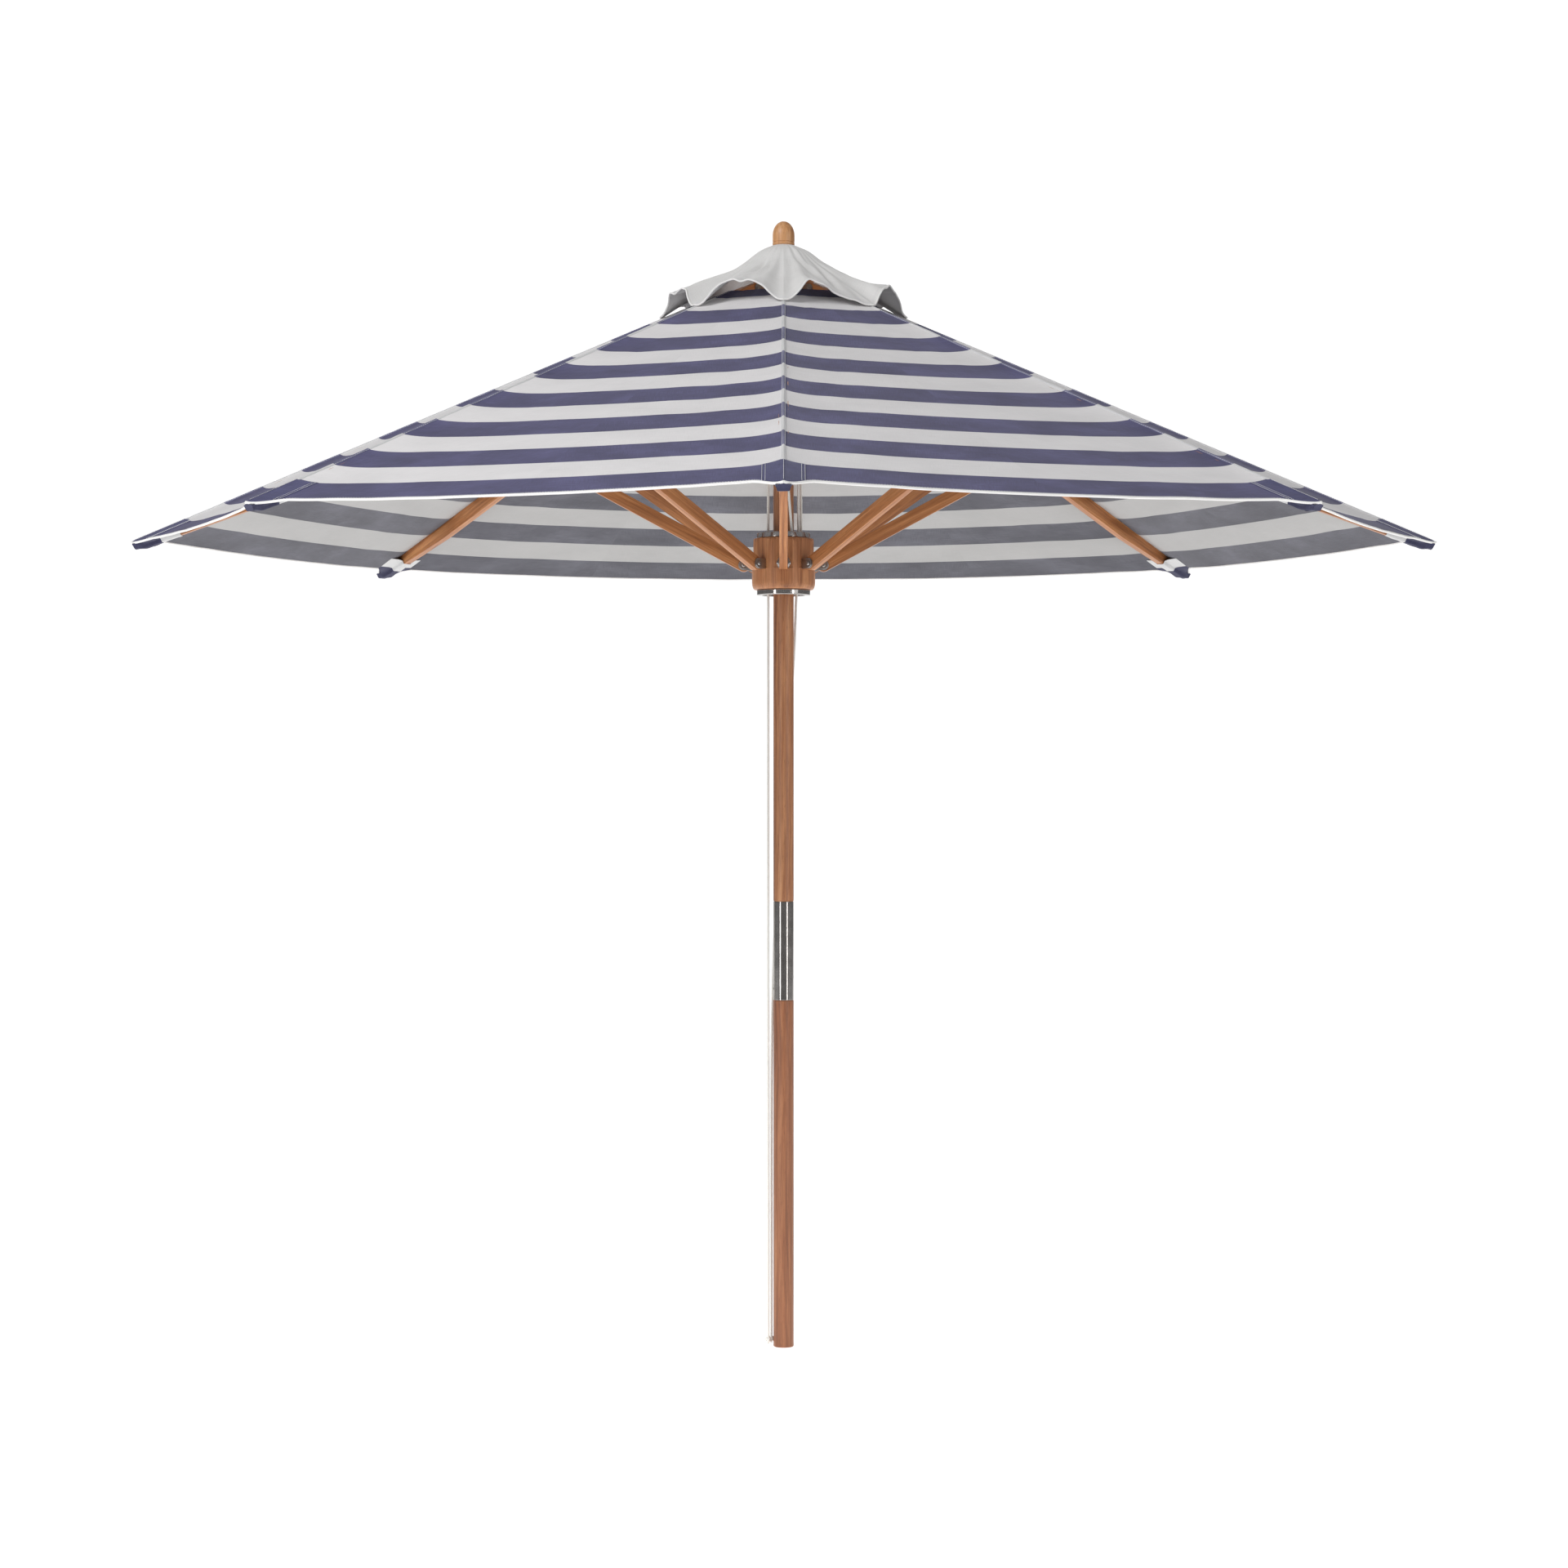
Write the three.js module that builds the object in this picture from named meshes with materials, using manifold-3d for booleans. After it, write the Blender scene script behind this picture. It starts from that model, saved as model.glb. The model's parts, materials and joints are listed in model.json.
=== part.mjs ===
// A wooden beach umbrella: a two-length pole, a fixed crown and a sliding runner, eight ribs on eight struts, a striped
// canopy of eight panels with a vent cap, a finial, and a cord over three pulleys that lifts the runner.
// Millimetres, +Z up, the origin at the foot of the pole on its axis. Rib 1 points along -Y, and the ribs count
// anticlockwise seen from above.

import * as THREE from 'three';
import { mergeVertices } from 'three/addons/utils/BufferGeometryUtils.js';
import Module from 'manifold-3d';

const wasm = await Module();
wasm.setup();

const rad = THREE.MathUtils.degToRad;

// ---------- driving dimensions ----------

const GAP = 0.3; // between pieces that touch

// canopy
const RIBS = 8;
const CANOPY_RADIUS = 1500; // from the axis to a corner
const RIM_Z = 1859; // height of the corners
const CANOPY_SLOPE = rad(22.78); // of the ridge over each rib
const RIM_INSET = 35; // how far the rim between two corners lies in from the line through them, down the slope
const CORNER_FLARE = 70; // how far from a ridge the rim starts to run out to the corner
const FABRIC = 2; // thickness of the cloth with its seams
const VENT_RADIUS = 170; // of the canopy's open top, along a rib
const SEAM = 1; // between two half panels, and beside the ridge

// vent cap
const CAP_RADIUS = 285; // from the axis to a corner of the hem
const CAP_LIFT = 4; // of the hem's corners above the canopy
const CAP_ARCH = 48; // rise of the hem between two corners
const CAP_HOLE = 14; // radius of the hole that the finial's stem passes

// pole
const POLE_RADIUS = 23.5;
const POLE_CHAMFER = 2;
const POLE_ABOVE_CROWN = 46; // from the crown barrel's top to the pole's
const SLEEVE_Z = 800;
const SLEEVE_LENGTH = 227;
const SLEEVE_WALL = 1.5;
const POLE_END_GAP = 2; // between the two lengths, inside the sleeve

// finial
const FINIAL_OVERHANG = 1.9; // of the finial past the pole's face
const FINIAL_HEIGHT = 56.5;
const STEM_RADIUS = 12;
const STEM_LENGTH = 40;

// hubs: the crown and the runner are the same turned barrel
const BARREL_RADIUS = 69.5;
const BARREL_HEIGHT = 118;
const BARREL_BULGE = 6; // of the barrel over its ends
const SHOULDER = 12; // height of the rounded shoulder at each end
const RING_STEP = 1.5; // from the barrel's end in to the ring
const RING_WIDTH = 12; // from the ring's bore to its outside
const RING_HEIGHT = 13;
const FLAT_CUT = 3.5; // depth of the flat behind each bracket
const FLAT_DEPTH = 70; // how far the flats run down from the barrel's top
const PIVOT_ABOVE_BARREL_FOOT = 56.6;
const RUNNER_CLEARANCE = 1.5; // round the pole, for the runner to slide

// linkage
const PIVOT_STANDOFF = 26; // from the hubs' flats out to the pivots
const LINK_LENGTH = 668.5; // between a strut's pivots, and along the rib between its own two
const CROWN_PIVOT_DROP = 20; // of the crown's pivots under the ridge line
const LINK_ANGLE = rad(28); // of both links, under the horizontal, with the umbrella open

// ribs and struts
const RIB_WIDTH = 20;
const RIB_DEPTH = 35;
const RIB_DROP = 4.5; // from the ridge line down to the rib's top
const RIB_TIP_GAP = 25; // from the rib's end to the canopy's corner
const RIB_TIP_DEPTH = 22;
const RIB_TAPER = 260; // length of the taper to the tip
const STRUT_WIDTH = 19;
const STRUT_DEPTH = 30;
const STRUT_RISE = 5; // of the strut's centreline over its outer pivot

// brackets and bolts
const EAR_THICKNESS = 2;
const EAR_GAP = 0.4; // on each side of the piece between two ears
const EAR_END = 12; // from the bolt to the end of the ears
const RIB_BRACKET_LENGTH = 46;
const BAND_HEIGHT = 16; // of the band that carries the hub brackets
const BOLT_RADIUS = 3;
const BOLT_HOLE_RADIUS = 3.5;
const WASHER_RADIUS = 10;
const BOLT_HEAD_RADIUS = 5;
const WASHER_THICKNESS = 1.5;
const BOLT_HEAD_HEIGHT = 3.5;

// cord and pulleys
const CORD_RADIUS = 3;
const CORD_GUIDE_RADIUS = 4.5;
const PULLEY_RIM = 3; // of the flanges over the cord's centreline
const PULLEY_WIDTH = 9;
const POCKET_GAP = 1.5; // on each side of a pulley
const AXLE_RADIUS = 2.9;
const AXLE_LENGTH = 15;
const PULLEY_BORE = 3.2;
const CROWN_PULLEY_ABOVE = 36; // above the barrel's foot
const RUNNER_PULLEY_ABOVE = 89;
const KNOT_RADIUS = 8;
const KNOT_HEIGHT = 18;
const CORD_FOOT_Z = 24; // where both falls meet their knots

// where the cord's runs stand, seen from above: how far off the pole's face, and in which direction in degrees
const LEFT_FALL_SPOT = { off: 12, turn: 180 };
const FRONT_TOP_SPOT = { off: 12.9589, turn: -132.221 };
const FRONT_FOOT_SPOT = { off: 14.8047, turn: -54.0276 };
const RIGHT_RISE_SPOT = { off: 11.2223, turn: -9.95063 };
const RIGHT_TOP_SPOT = { off: 20.409, turn: 30.0686 };
const RIGHT_GUIDE = { x: 35.5, y: 22, length: 20, width: 10 };

// how finely round pieces are cut
const ROUND = 24;
const SMALL_ROUND = 16;
const BOLT_ROUND = 6;

// ---------- what follows from them ----------

const PITCH = rad(360 / RIBS);
const RIB_1_AZIMUTH = rad(-90);
const APEX_Z = RIM_Z + CANOPY_RADIUS * Math.tan(CANOPY_SLOPE); // where the ridge lines would meet
const ridgeZ = (radius) => APEX_Z - radius * Math.tan(CANOPY_SLOPE);

const PANEL_SLANT = Math.hypot(CANOPY_RADIUS * Math.cos(PITCH / 2), APEX_Z - RIM_Z);
const PANEL_SLOPE = Math.atan2(APEX_Z - RIM_Z, CANOPY_RADIUS * Math.cos(PITCH / 2));
const PANEL_HALF_RIM = CANOPY_RADIUS * Math.sin(PITCH / 2);

const FLAT_RADIUS = BARREL_RADIUS - FLAT_CUT;
const PIVOT_RADIUS = FLAT_RADIUS + PIVOT_STANDOFF;
const BARREL_END_RADIUS = BARREL_RADIUS - BARREL_BULGE;
const RING_RADIUS = BARREL_END_RADIUS - RING_STEP;
const RING_BORE = RING_RADIUS - RING_WIDTH;
const RUNNER_BORE = POLE_RADIUS + RUNNER_CLEARANCE;

const CROWN_PIVOT_Z = ridgeZ(PIVOT_RADIUS) - CROWN_PIVOT_DROP;
const RUNNER_PIVOT_Z = CROWN_PIVOT_Z - 2 * LINK_LENGTH * Math.sin(LINK_ANGLE);
// the strut's pivot under the rib, in the rib's own frame: x along the rib from the crown's pivot, z up
const STRUT_PIVOT_X = LINK_LENGTH * Math.cos(LINK_ANGLE - CANOPY_SLOPE);
const STRUT_PIVOT_Z = -LINK_LENGTH * Math.sin(LINK_ANGLE - CANOPY_SLOPE);

const RIB_TOP = CROWN_PIVOT_DROP * Math.cos(CANOPY_SLOPE) - RIB_DROP;
const RIB_FOOT = RIB_TOP - RIB_DEPTH;
const RIB_LENGTH = (CANOPY_RADIUS - PIVOT_RADIUS) / Math.cos(CANOPY_SLOPE)
  + CROWN_PIVOT_DROP * -Math.sin(CANOPY_SLOPE) - RIB_TIP_GAP;

const CROWN_FOOT_Z = CROWN_PIVOT_Z - PIVOT_ABOVE_BARREL_FOOT;
const RUNNER_FOOT_Z = RUNNER_PIVOT_Z - PIVOT_ABOVE_BARREL_FOOT;
const POLE_TOP_Z = CROWN_FOOT_Z + BARREL_HEIGHT + POLE_ABOVE_CROWN;
const CROWN_PULLEY_Z = CROWN_FOOT_Z + CROWN_PULLEY_ABOVE;
const RUNNER_PULLEY_Z = RUNNER_FOOT_Z + RUNNER_PULLEY_ABOVE;
const FINIAL_RADIUS = POLE_RADIUS + FINIAL_OVERHANG;
const CROWN_BORE = POLE_RADIUS + GAP;

const besidePole = ({ off, turn }) => new THREE.Vector2(POLE_RADIUS + off, 0).rotateAround(new THREE.Vector2(), rad(turn));
const LEFT_FALL = besidePole(LEFT_FALL_SPOT);
const FRONT_TOP = besidePole(FRONT_TOP_SPOT);
const FRONT_FOOT = besidePole(FRONT_FOOT_SPOT);
const RIGHT_RISE = besidePole(RIGHT_RISE_SPOT);
const RIGHT_TOP = besidePole(RIGHT_TOP_SPOT);

const SLEEVE_BORE = POLE_RADIUS - SLEEVE_WALL;
const TENON_RADIUS = SLEEVE_BORE - GAP;
const SLEEVE_TOP_Z = SLEEVE_Z + SLEEVE_LENGTH;
const POLE_MEET_Z = SLEEVE_Z + SLEEVE_LENGTH / 2;

// ---------- materials ----------

const WOOD = new THREE.MeshStandardMaterial({ color: 0x9c6843, roughness: 0.45, metalness: 0 });
const STEEL = new THREE.MeshStandardMaterial({ color: 0xc9ccd0, roughness: 0.15, metalness: 1 });
const CANVAS = new THREE.MeshStandardMaterial({ color: 0x4b4d74, roughness: 0.9, metalness: 0 });
const CAP_CANVAS = new THREE.MeshStandardMaterial({ color: 0xd6d6d8, roughness: 0.9, metalness: 0 });
const CORD = new THREE.MeshStandardMaterial({ color: 0xe6e4de, roughness: 0.85, metalness: 0 });

// ---------- helpers ----------

/** The same faces, turned to point out of the body. */
function outward(geometry) {
  const position = geometry.getAttribute('position');
  const index = geometry.getIndex();
  const corner = [new THREE.Vector3(), new THREE.Vector3(), new THREE.Vector3()];
  let volume = 0;
  for (let i = 0; i < index.count; i += 3) {
    corner.forEach((point, k) => point.fromBufferAttribute(position, index.getX(i + k)));
    volume += corner[0].dot(corner[1].clone().cross(corner[2]));
  }
  if (volume < 0) {
    for (let i = 0; i < index.count; i += 3) {
      const second = index.getX(i + 1);
      index.setX(i + 1, index.getX(i + 2));
      index.setX(i + 2, second);
    }
  }
  return geometry;
}

/** A geometry as one closed mesh with shared corners and its faces pointing out. */
function closed(geometry) {
  const bare = geometry.clone();
  bare.deleteAttribute('normal');
  bare.deleteAttribute('uv');
  return outward(mergeVertices(bare, 1e-4));
}

function solid(geometry) {
  const mesh = closed(geometry);
  return new wasm.Manifold(new wasm.Mesh({
    numProp: 3,
    vertProperties: new Float32Array(mesh.getAttribute('position').array),
    triVerts: new Uint32Array(mesh.getIndex().array),
  }));
}

function geometryOf(manifold) {
  const mesh = manifold.getMesh();
  const geometry = new THREE.BufferGeometry();
  geometry.setAttribute('position', new THREE.BufferAttribute(new Float32Array(mesh.vertProperties), 3));
  geometry.setIndex(new THREE.BufferAttribute(new Uint32Array(mesh.triVerts), 1));
  return geometry;
}

const joined = (...pieces) => pieces.reduce((whole, piece) => whole.add(piece));

/** A turned body about Z from its outline of [radius, z] points. */
function turned(outline, segments = ROUND) {
  const points = outline.map(([radius, z]) => new THREE.Vector2(radius, z));
  return new THREE.LatheGeometry(points, segments).rotateX(Math.PI / 2);
}

/** A tube's outline, which closes on itself. */
const ringOutline = (inner, outer, low, high) => [[inner, low], [outer, low], [outer, high], [inner, high], [inner, low]];

/** A box between two corners. */
function block(low, high) {
  const size = high.map((value, i) => value - low[i]);
  const middle = high.map((value, i) => (value + low[i]) / 2);
  return new THREE.BoxGeometry(...size).translate(...middle);
}

/** A flat outline in x and z, given its width along y, centred on y = 0. */
function slab(shape, width, curveSegments = 4) {
  const geometry = new THREE.ExtrudeGeometry(shape, { depth: width, bevelEnabled: false, curveSegments });
  return geometry.rotateX(Math.PI / 2).translate(0, width / 2, 0);
}

/** A body turned about an axis along y, through (x, z). */
const acrossY = (geometry, x, z) => geometry.rotateX(Math.PI / 2).translate(x, 0, z);

function part(name, geometry, material) {
  const mesh = new THREE.Mesh(geometry, material);
  mesh.name = name;
  return mesh;
}

/** A group turned to a rib's direction; between two ribs at half counts. */
function spoke(count) {
  const group = new THREE.Group();
  group.rotation.z = RIB_1_AZIMUTH + count * PITCH;
  return group;
}

/** The same solid once for each rib's direction. */
function aroundHub(piece) {
  const copies = [];
  for (let i = 0; i < RIBS; i += 1) {
    const turn = THREE.MathUtils.radToDeg(RIB_1_AZIMUTH + i * PITCH);
    copies.push(piece.rotate([0, 0, turn]));
  }
  return joined(...copies);
}

// ---------- pole, sleeve and finial ----------

function lowerPole() {
  const end = POLE_MEET_Z - POLE_END_GAP / 2;
  return turned([
    [0, 0], [POLE_RADIUS - POLE_CHAMFER, 0], [POLE_RADIUS, POLE_CHAMFER], [POLE_RADIUS, SLEEVE_Z - GAP],
    [TENON_RADIUS, SLEEVE_Z - GAP], [TENON_RADIUS, end], [0, end],
  ]);
}

function upperPole() {
  const end = POLE_MEET_Z + POLE_END_GAP / 2;
  const shoulder = SLEEVE_TOP_Z + GAP;
  const socket = POLE_TOP_Z - STEM_LENGTH - GAP;
  return turned([
    [0, end], [TENON_RADIUS, end], [TENON_RADIUS, shoulder], [POLE_RADIUS, shoulder], [POLE_RADIUS, POLE_TOP_Z],
    [STEM_RADIUS + GAP, POLE_TOP_Z], [STEM_RADIUS + GAP, socket], [0, socket],
  ]);
}

const poleSleeve = () => turned(ringOutline(SLEEVE_BORE, POLE_RADIUS, SLEEVE_Z, SLEEVE_TOP_Z));

function finial() {
  const seat = POLE_TOP_Z + GAP + FABRIC + GAP;
  const top = seat + FINIAL_HEIGHT;
  const outline = [[0, seat - FABRIC - GAP - STEM_LENGTH], [STEM_RADIUS, seat - FABRIC - GAP - STEM_LENGTH],
    [STEM_RADIUS, seat], [FINIAL_RADIUS - 1, seat], [FINIAL_RADIUS, seat + 1]];
  const straight = FINIAL_HEIGHT * 0.4;
  const steps = 4;
  for (let i = 0; i < steps; i += 1) {
    const turn = (i / steps) * Math.PI / 2;
    const z = seat + straight + (FINIAL_HEIGHT - straight) * Math.sin(turn);
    outline.push([FINIAL_RADIUS * Math.cos(turn), z]);
  }
  outline.push([0, top]);
  return turned(outline);
}

// ---------- hubs ----------

/** A pulley's place: the two cord runs that leave it, seen from above, and the height of its axle. */
function pulleyPlace(from, to, z) {
  const span = to.clone().sub(from);
  return { from, to, z, x: (from.x + to.x) / 2, y: (from.y + to.y) / 2,
    radius: span.length() / 2, azimuth: Math.atan2(span.y, span.x) };
}

const CROWN_LEFT = pulleyPlace(LEFT_FALL, FRONT_TOP, CROWN_PULLEY_Z);
const CROWN_RIGHT = pulleyPlace(RIGHT_RISE, RIGHT_TOP, CROWN_PULLEY_Z);
const RUNNER_FRONT = pulleyPlace(FRONT_FOOT, RIGHT_RISE, RUNNER_PULLEY_Z);

/** Moves a geometry that is drawn in a pulley's own frame, x along its plane and y along its axle, into place. */
const atPulley = (geometry, place) => geometry.rotateZ(place.azimuth).translate(place.x, place.y, place.z);

function pulley(place) {
  const rim = place.radius + PULLEY_RIM;
  const floor = place.radius - CORD_RADIUS - GAP;
  const half = PULLEY_WIDTH / 2;
  const groove = CORD_RADIUS + 2 * GAP;
  return turned([
    [PULLEY_BORE, -half], [rim, -half], [rim, -groove], [floor, -groove], [floor, groove], [rim, groove],
    [rim, half], [PULLEY_BORE, half], [PULLEY_BORE, -half],
  ], SMALL_ROUND).rotateX(Math.PI / 2);
}

const axle = () => new THREE.CylinderGeometry(AXLE_RADIUS, AXLE_RADIUS, AXLE_LENGTH, SMALL_ROUND);

/** The slot in a hub for one pulley, open to one end of the hub, with the hole for its axle. */
function pulleyPocket(place, openZ) {
  const reach = place.radius + PULLEY_RIM + POCKET_GAP;
  const half = PULLEY_WIDTH / 2 + POCKET_GAP;
  const toEnd = openZ - place.z;
  const low = Math.min(toEnd, -reach);
  const high = Math.max(toEnd, reach);
  const slot = solid(atPulley(block([-reach, -half, low], [reach, half, high]), place));
  const hole = new THREE.CylinderGeometry(AXLE_RADIUS + GAP, AXLE_RADIUS + GAP, AXLE_LENGTH + 2 * GAP, SMALL_ROUND);
  return joined(slot, solid(atPulley(hole, place)));
}

/** The barrel that both hubs share, from its foot up, with a flat behind each bracket. */
function barrel(footZ, bore) {
  const outline = [[bore, 0], [BARREL_END_RADIUS, 0]];
  const steps = 3;
  const bulge = BARREL_RADIUS - BARREL_END_RADIUS;
  for (let i = 1; i <= steps; i += 1) {
    const turn = (i / steps) * Math.PI / 2;
    outline.push([BARREL_END_RADIUS + bulge * Math.sin(turn), SHOULDER * (1 - Math.cos(turn))]);
  }
  for (let i = steps; i >= 1; i -= 1) {
    const turn = (i / steps) * Math.PI / 2;
    outline.push([BARREL_END_RADIUS + bulge * Math.sin(turn), BARREL_HEIGHT - SHOULDER * (1 - Math.cos(turn))]);
  }
  outline.push([BARREL_END_RADIUS, BARREL_HEIGHT], [bore, BARREL_HEIGHT], [bore, 0]);
  const flatFoot = BARREL_HEIGHT - FLAT_DEPTH;
  const flat = solid(block(
    [FLAT_RADIUS, -BARREL_RADIUS / 2, flatFoot], [BARREL_RADIUS + 5, BARREL_RADIUS / 2, BARREL_HEIGHT + 5],
  ));
  return solid(turned(outline)).subtract(aroundHub(flat)).translate([0, 0, footZ]);
}

/** The band of eight U brackets that a hub's links are bolted to. */
function hubBrackets(pivotZ, linkWidth) {
  const inner = FLAT_RADIUS + GAP;
  const outer = inner + EAR_THICKNESS;
  const ribAngle = Math.cos(PITCH / 2);
  const low = -BAND_HEIGHT / 2;
  const high = BAND_HEIGHT / 2;
  const octagon = solid(new THREE.LatheGeometry(
    ringOutline(inner / ribAngle, outer / ribAngle, low, high).map(([r, z]) => new THREE.Vector2(r, z)), RIBS,
  ).rotateX(Math.PI / 2).rotateZ(PITCH / 2));
  const inside = linkWidth / 2 + EAR_GAP;
  const ear = new THREE.Shape();
  ear.moveTo(outer - EAR_THICKNESS / 2, low);
  ear.lineTo(PIVOT_RADIUS, -EAR_END);
  ear.absarc(PIVOT_RADIUS, 0, EAR_END, -Math.PI / 2, Math.PI / 2, false);
  ear.lineTo(outer - EAR_THICKNESS / 2, high);
  const hole = solid(acrossY(turned([[0, -linkWidth], [BOLT_HOLE_RADIUS, -linkWidth],
    [BOLT_HOLE_RADIUS, linkWidth], [0, linkWidth]], BOLT_ROUND), PIVOT_RADIUS, 0));
  const plate = slab(ear, EAR_THICKNESS);
  const side = inside + EAR_THICKNESS / 2;
  const ears = joined(solid(plate.clone().translate(0, side, 0)), solid(plate.clone().translate(0, -side, 0)));
  return octagon.add(aroundHub(ears.subtract(hole))).translate([0, 0, pivotZ]);
}

const hubRing = (low) => turned(ringOutline(RING_BORE, RING_RADIUS, low, low + RING_HEIGHT));

function crownBarrel() {
  const openZ = CROWN_FOOT_Z - 5;
  return barrel(CROWN_FOOT_Z, CROWN_BORE)
    .subtract(pulleyPocket(CROWN_LEFT, openZ))
    .subtract(pulleyPocket(CROWN_RIGHT, openZ));
}

function runnerBarrel() {
  const low = RUNNER_FOOT_Z - 5;
  const high = RUNNER_FOOT_Z + BARREL_HEIGHT + 5;
  const leftGuide = new THREE.CylinderGeometry(CORD_GUIDE_RADIUS, CORD_GUIDE_RADIUS, high - low, SMALL_ROUND)
    .rotateX(Math.PI / 2).translate(LEFT_FALL.x, LEFT_FALL.y, (low + high) / 2);
  const { x, y, length, width } = RIGHT_GUIDE;
  const rightGuide = block([x - length / 2, y - width / 2, low], [x + length / 2, y + width / 2, high]);
  return barrel(RUNNER_FOOT_Z, RUNNER_BORE)
    .subtract(pulleyPocket(RUNNER_FRONT, high))
    .subtract(solid(leftGuide))
    .subtract(solid(rightGuide));
}

// ---------- ribs, struts and bolts ----------

/** A bolt across y with a washer and a pan head at each end, over two ears on a link of this width. */
function bolt(linkWidth) {
  const face = linkWidth / 2 + EAR_GAP + EAR_THICKNESS + GAP;
  const washer = face + WASHER_THICKNESS;
  const head = washer + BOLT_HEAD_HEIGHT;
  const half = [[BOLT_RADIUS, face], [WASHER_RADIUS, face], [WASHER_RADIUS, washer], [BOLT_HEAD_RADIUS, head],
    [0, head]];
  const mirrored = half.map(([radius, y]) => [radius, -y]).reverse();
  return turned([...mirrored, ...half], BOLT_ROUND);
}

/** One rib in its own frame, with the U bracket under it and the crown's bolt through its inner end. */
function rib() {
  const middle = (RIB_TOP + RIB_FOOT) / 2;
  const outline = new THREE.Shape();
  outline.moveTo(0, RIB_TOP);
  outline.absarc(0, middle, RIB_DEPTH / 2, Math.PI / 2, 3 * Math.PI / 2, false);
  outline.lineTo(RIB_LENGTH - RIB_TAPER, RIB_FOOT);
  outline.lineTo(RIB_LENGTH - RIB_TIP_DEPTH / 2, RIB_TOP - RIB_TIP_DEPTH);
  outline.lineTo(RIB_LENGTH, RIB_TOP - RIB_TIP_DEPTH * 0.6);
  outline.lineTo(RIB_LENGTH, RIB_TOP - RIB_TIP_DEPTH * 0.2);
  outline.lineTo(RIB_LENGTH - RIB_TIP_DEPTH / 4, RIB_TOP);
  const wood = solid(slab(outline, RIB_WIDTH));

  const inside = STRUT_WIDTH / 2 + EAR_GAP;
  const outside = inside + EAR_THICKNESS;
  const base = block([STRUT_PIVOT_X - RIB_BRACKET_LENGTH / 2, -outside, RIB_FOOT - EAR_THICKNESS],
    [STRUT_PIVOT_X + RIB_BRACKET_LENGTH / 2, outside, RIB_FOOT]);
  const ear = new THREE.Shape();
  const top = RIB_FOOT - EAR_THICKNESS / 2;
  ear.moveTo(STRUT_PIVOT_X - RIB_BRACKET_LENGTH / 2, top);
  ear.lineTo(STRUT_PIVOT_X - EAR_END, STRUT_PIVOT_Z);
  ear.absarc(STRUT_PIVOT_X, STRUT_PIVOT_Z, EAR_END, Math.PI, 2 * Math.PI, false);
  ear.lineTo(STRUT_PIVOT_X + RIB_BRACKET_LENGTH / 2, top);
  const plate = slab(ear, EAR_THICKNESS);
  const side = inside + EAR_THICKNESS / 2;
  const hole = solid(acrossY(turned([[0, -STRUT_WIDTH], [BOLT_HOLE_RADIUS, -STRUT_WIDTH],
    [BOLT_HOLE_RADIUS, STRUT_WIDTH], [0, STRUT_WIDTH]], BOLT_ROUND), STRUT_PIVOT_X, STRUT_PIVOT_Z));
  const ears = joined(solid(plate.clone().translate(0, side, 0)), solid(plate.clone().translate(0, -side, 0)));
  return joined(wood, solid(base), ears.subtract(hole), solid(acrossY(bolt(RIB_WIDTH), 0, 0)));
}

/** One strut in its own frame: x from the runner's pivot to the rib's, with the bolt at each end. */
function strut() {
  const radius = STRUT_DEPTH / 2;
  const outline = new THREE.Shape();
  outline.absarc(0, 0, radius, Math.PI / 2, 3 * Math.PI / 2, false);
  outline.absarc(LINK_LENGTH, STRUT_RISE, radius, -Math.PI / 2, Math.PI / 2, false);
  return joined(solid(slab(outline, STRUT_WIDTH)), solid(acrossY(bolt(STRUT_WIDTH), 0, 0)),
    solid(acrossY(bolt(STRUT_WIDTH), LINK_LENGTH, 0)));
}

// ---------- canopy and vent cap ----------

/**
 * Half a panel, from its ridge to its centreline. In the panel's own plane x runs down the slope from the apex and y
 * towards the ridge on the side given by side.
 */
function halfPanel(side) {
  const ridge = new THREE.Vector2(PANEL_SLANT, PANEL_HALF_RIM).normalize();
  const across = new THREE.Vector2(ridge.y, -ridge.x).multiplyScalar(SEAM / 2);
  const inner = VENT_RADIUS / CANOPY_RADIUS;
  const corner = new THREE.Vector2(PANEL_SLANT, PANEL_HALF_RIM).add(across);
  const innerCorner = new THREE.Vector2(PANEL_SLANT, PANEL_HALF_RIM).multiplyScalar(inner).add(across);
  const shape = new THREE.Shape();
  shape.moveTo(innerCorner.x, innerCorner.y);
  shape.lineTo(innerCorner.x, SEAM / 2);
  shape.lineTo(PANEL_SLANT - RIM_INSET, SEAM / 2);
  shape.lineTo(PANEL_SLANT - RIM_INSET, PANEL_HALF_RIM - CORNER_FLARE);
  shape.lineTo(corner.x, corner.y);
  const plate = new THREE.ExtrudeGeometry(shape, { depth: FABRIC, bevelEnabled: false });
  plate.translate(0, 0, -FABRIC);
  if (side < 0) plate.scale(1, -1, 1);
  return closed(plate);
}

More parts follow.
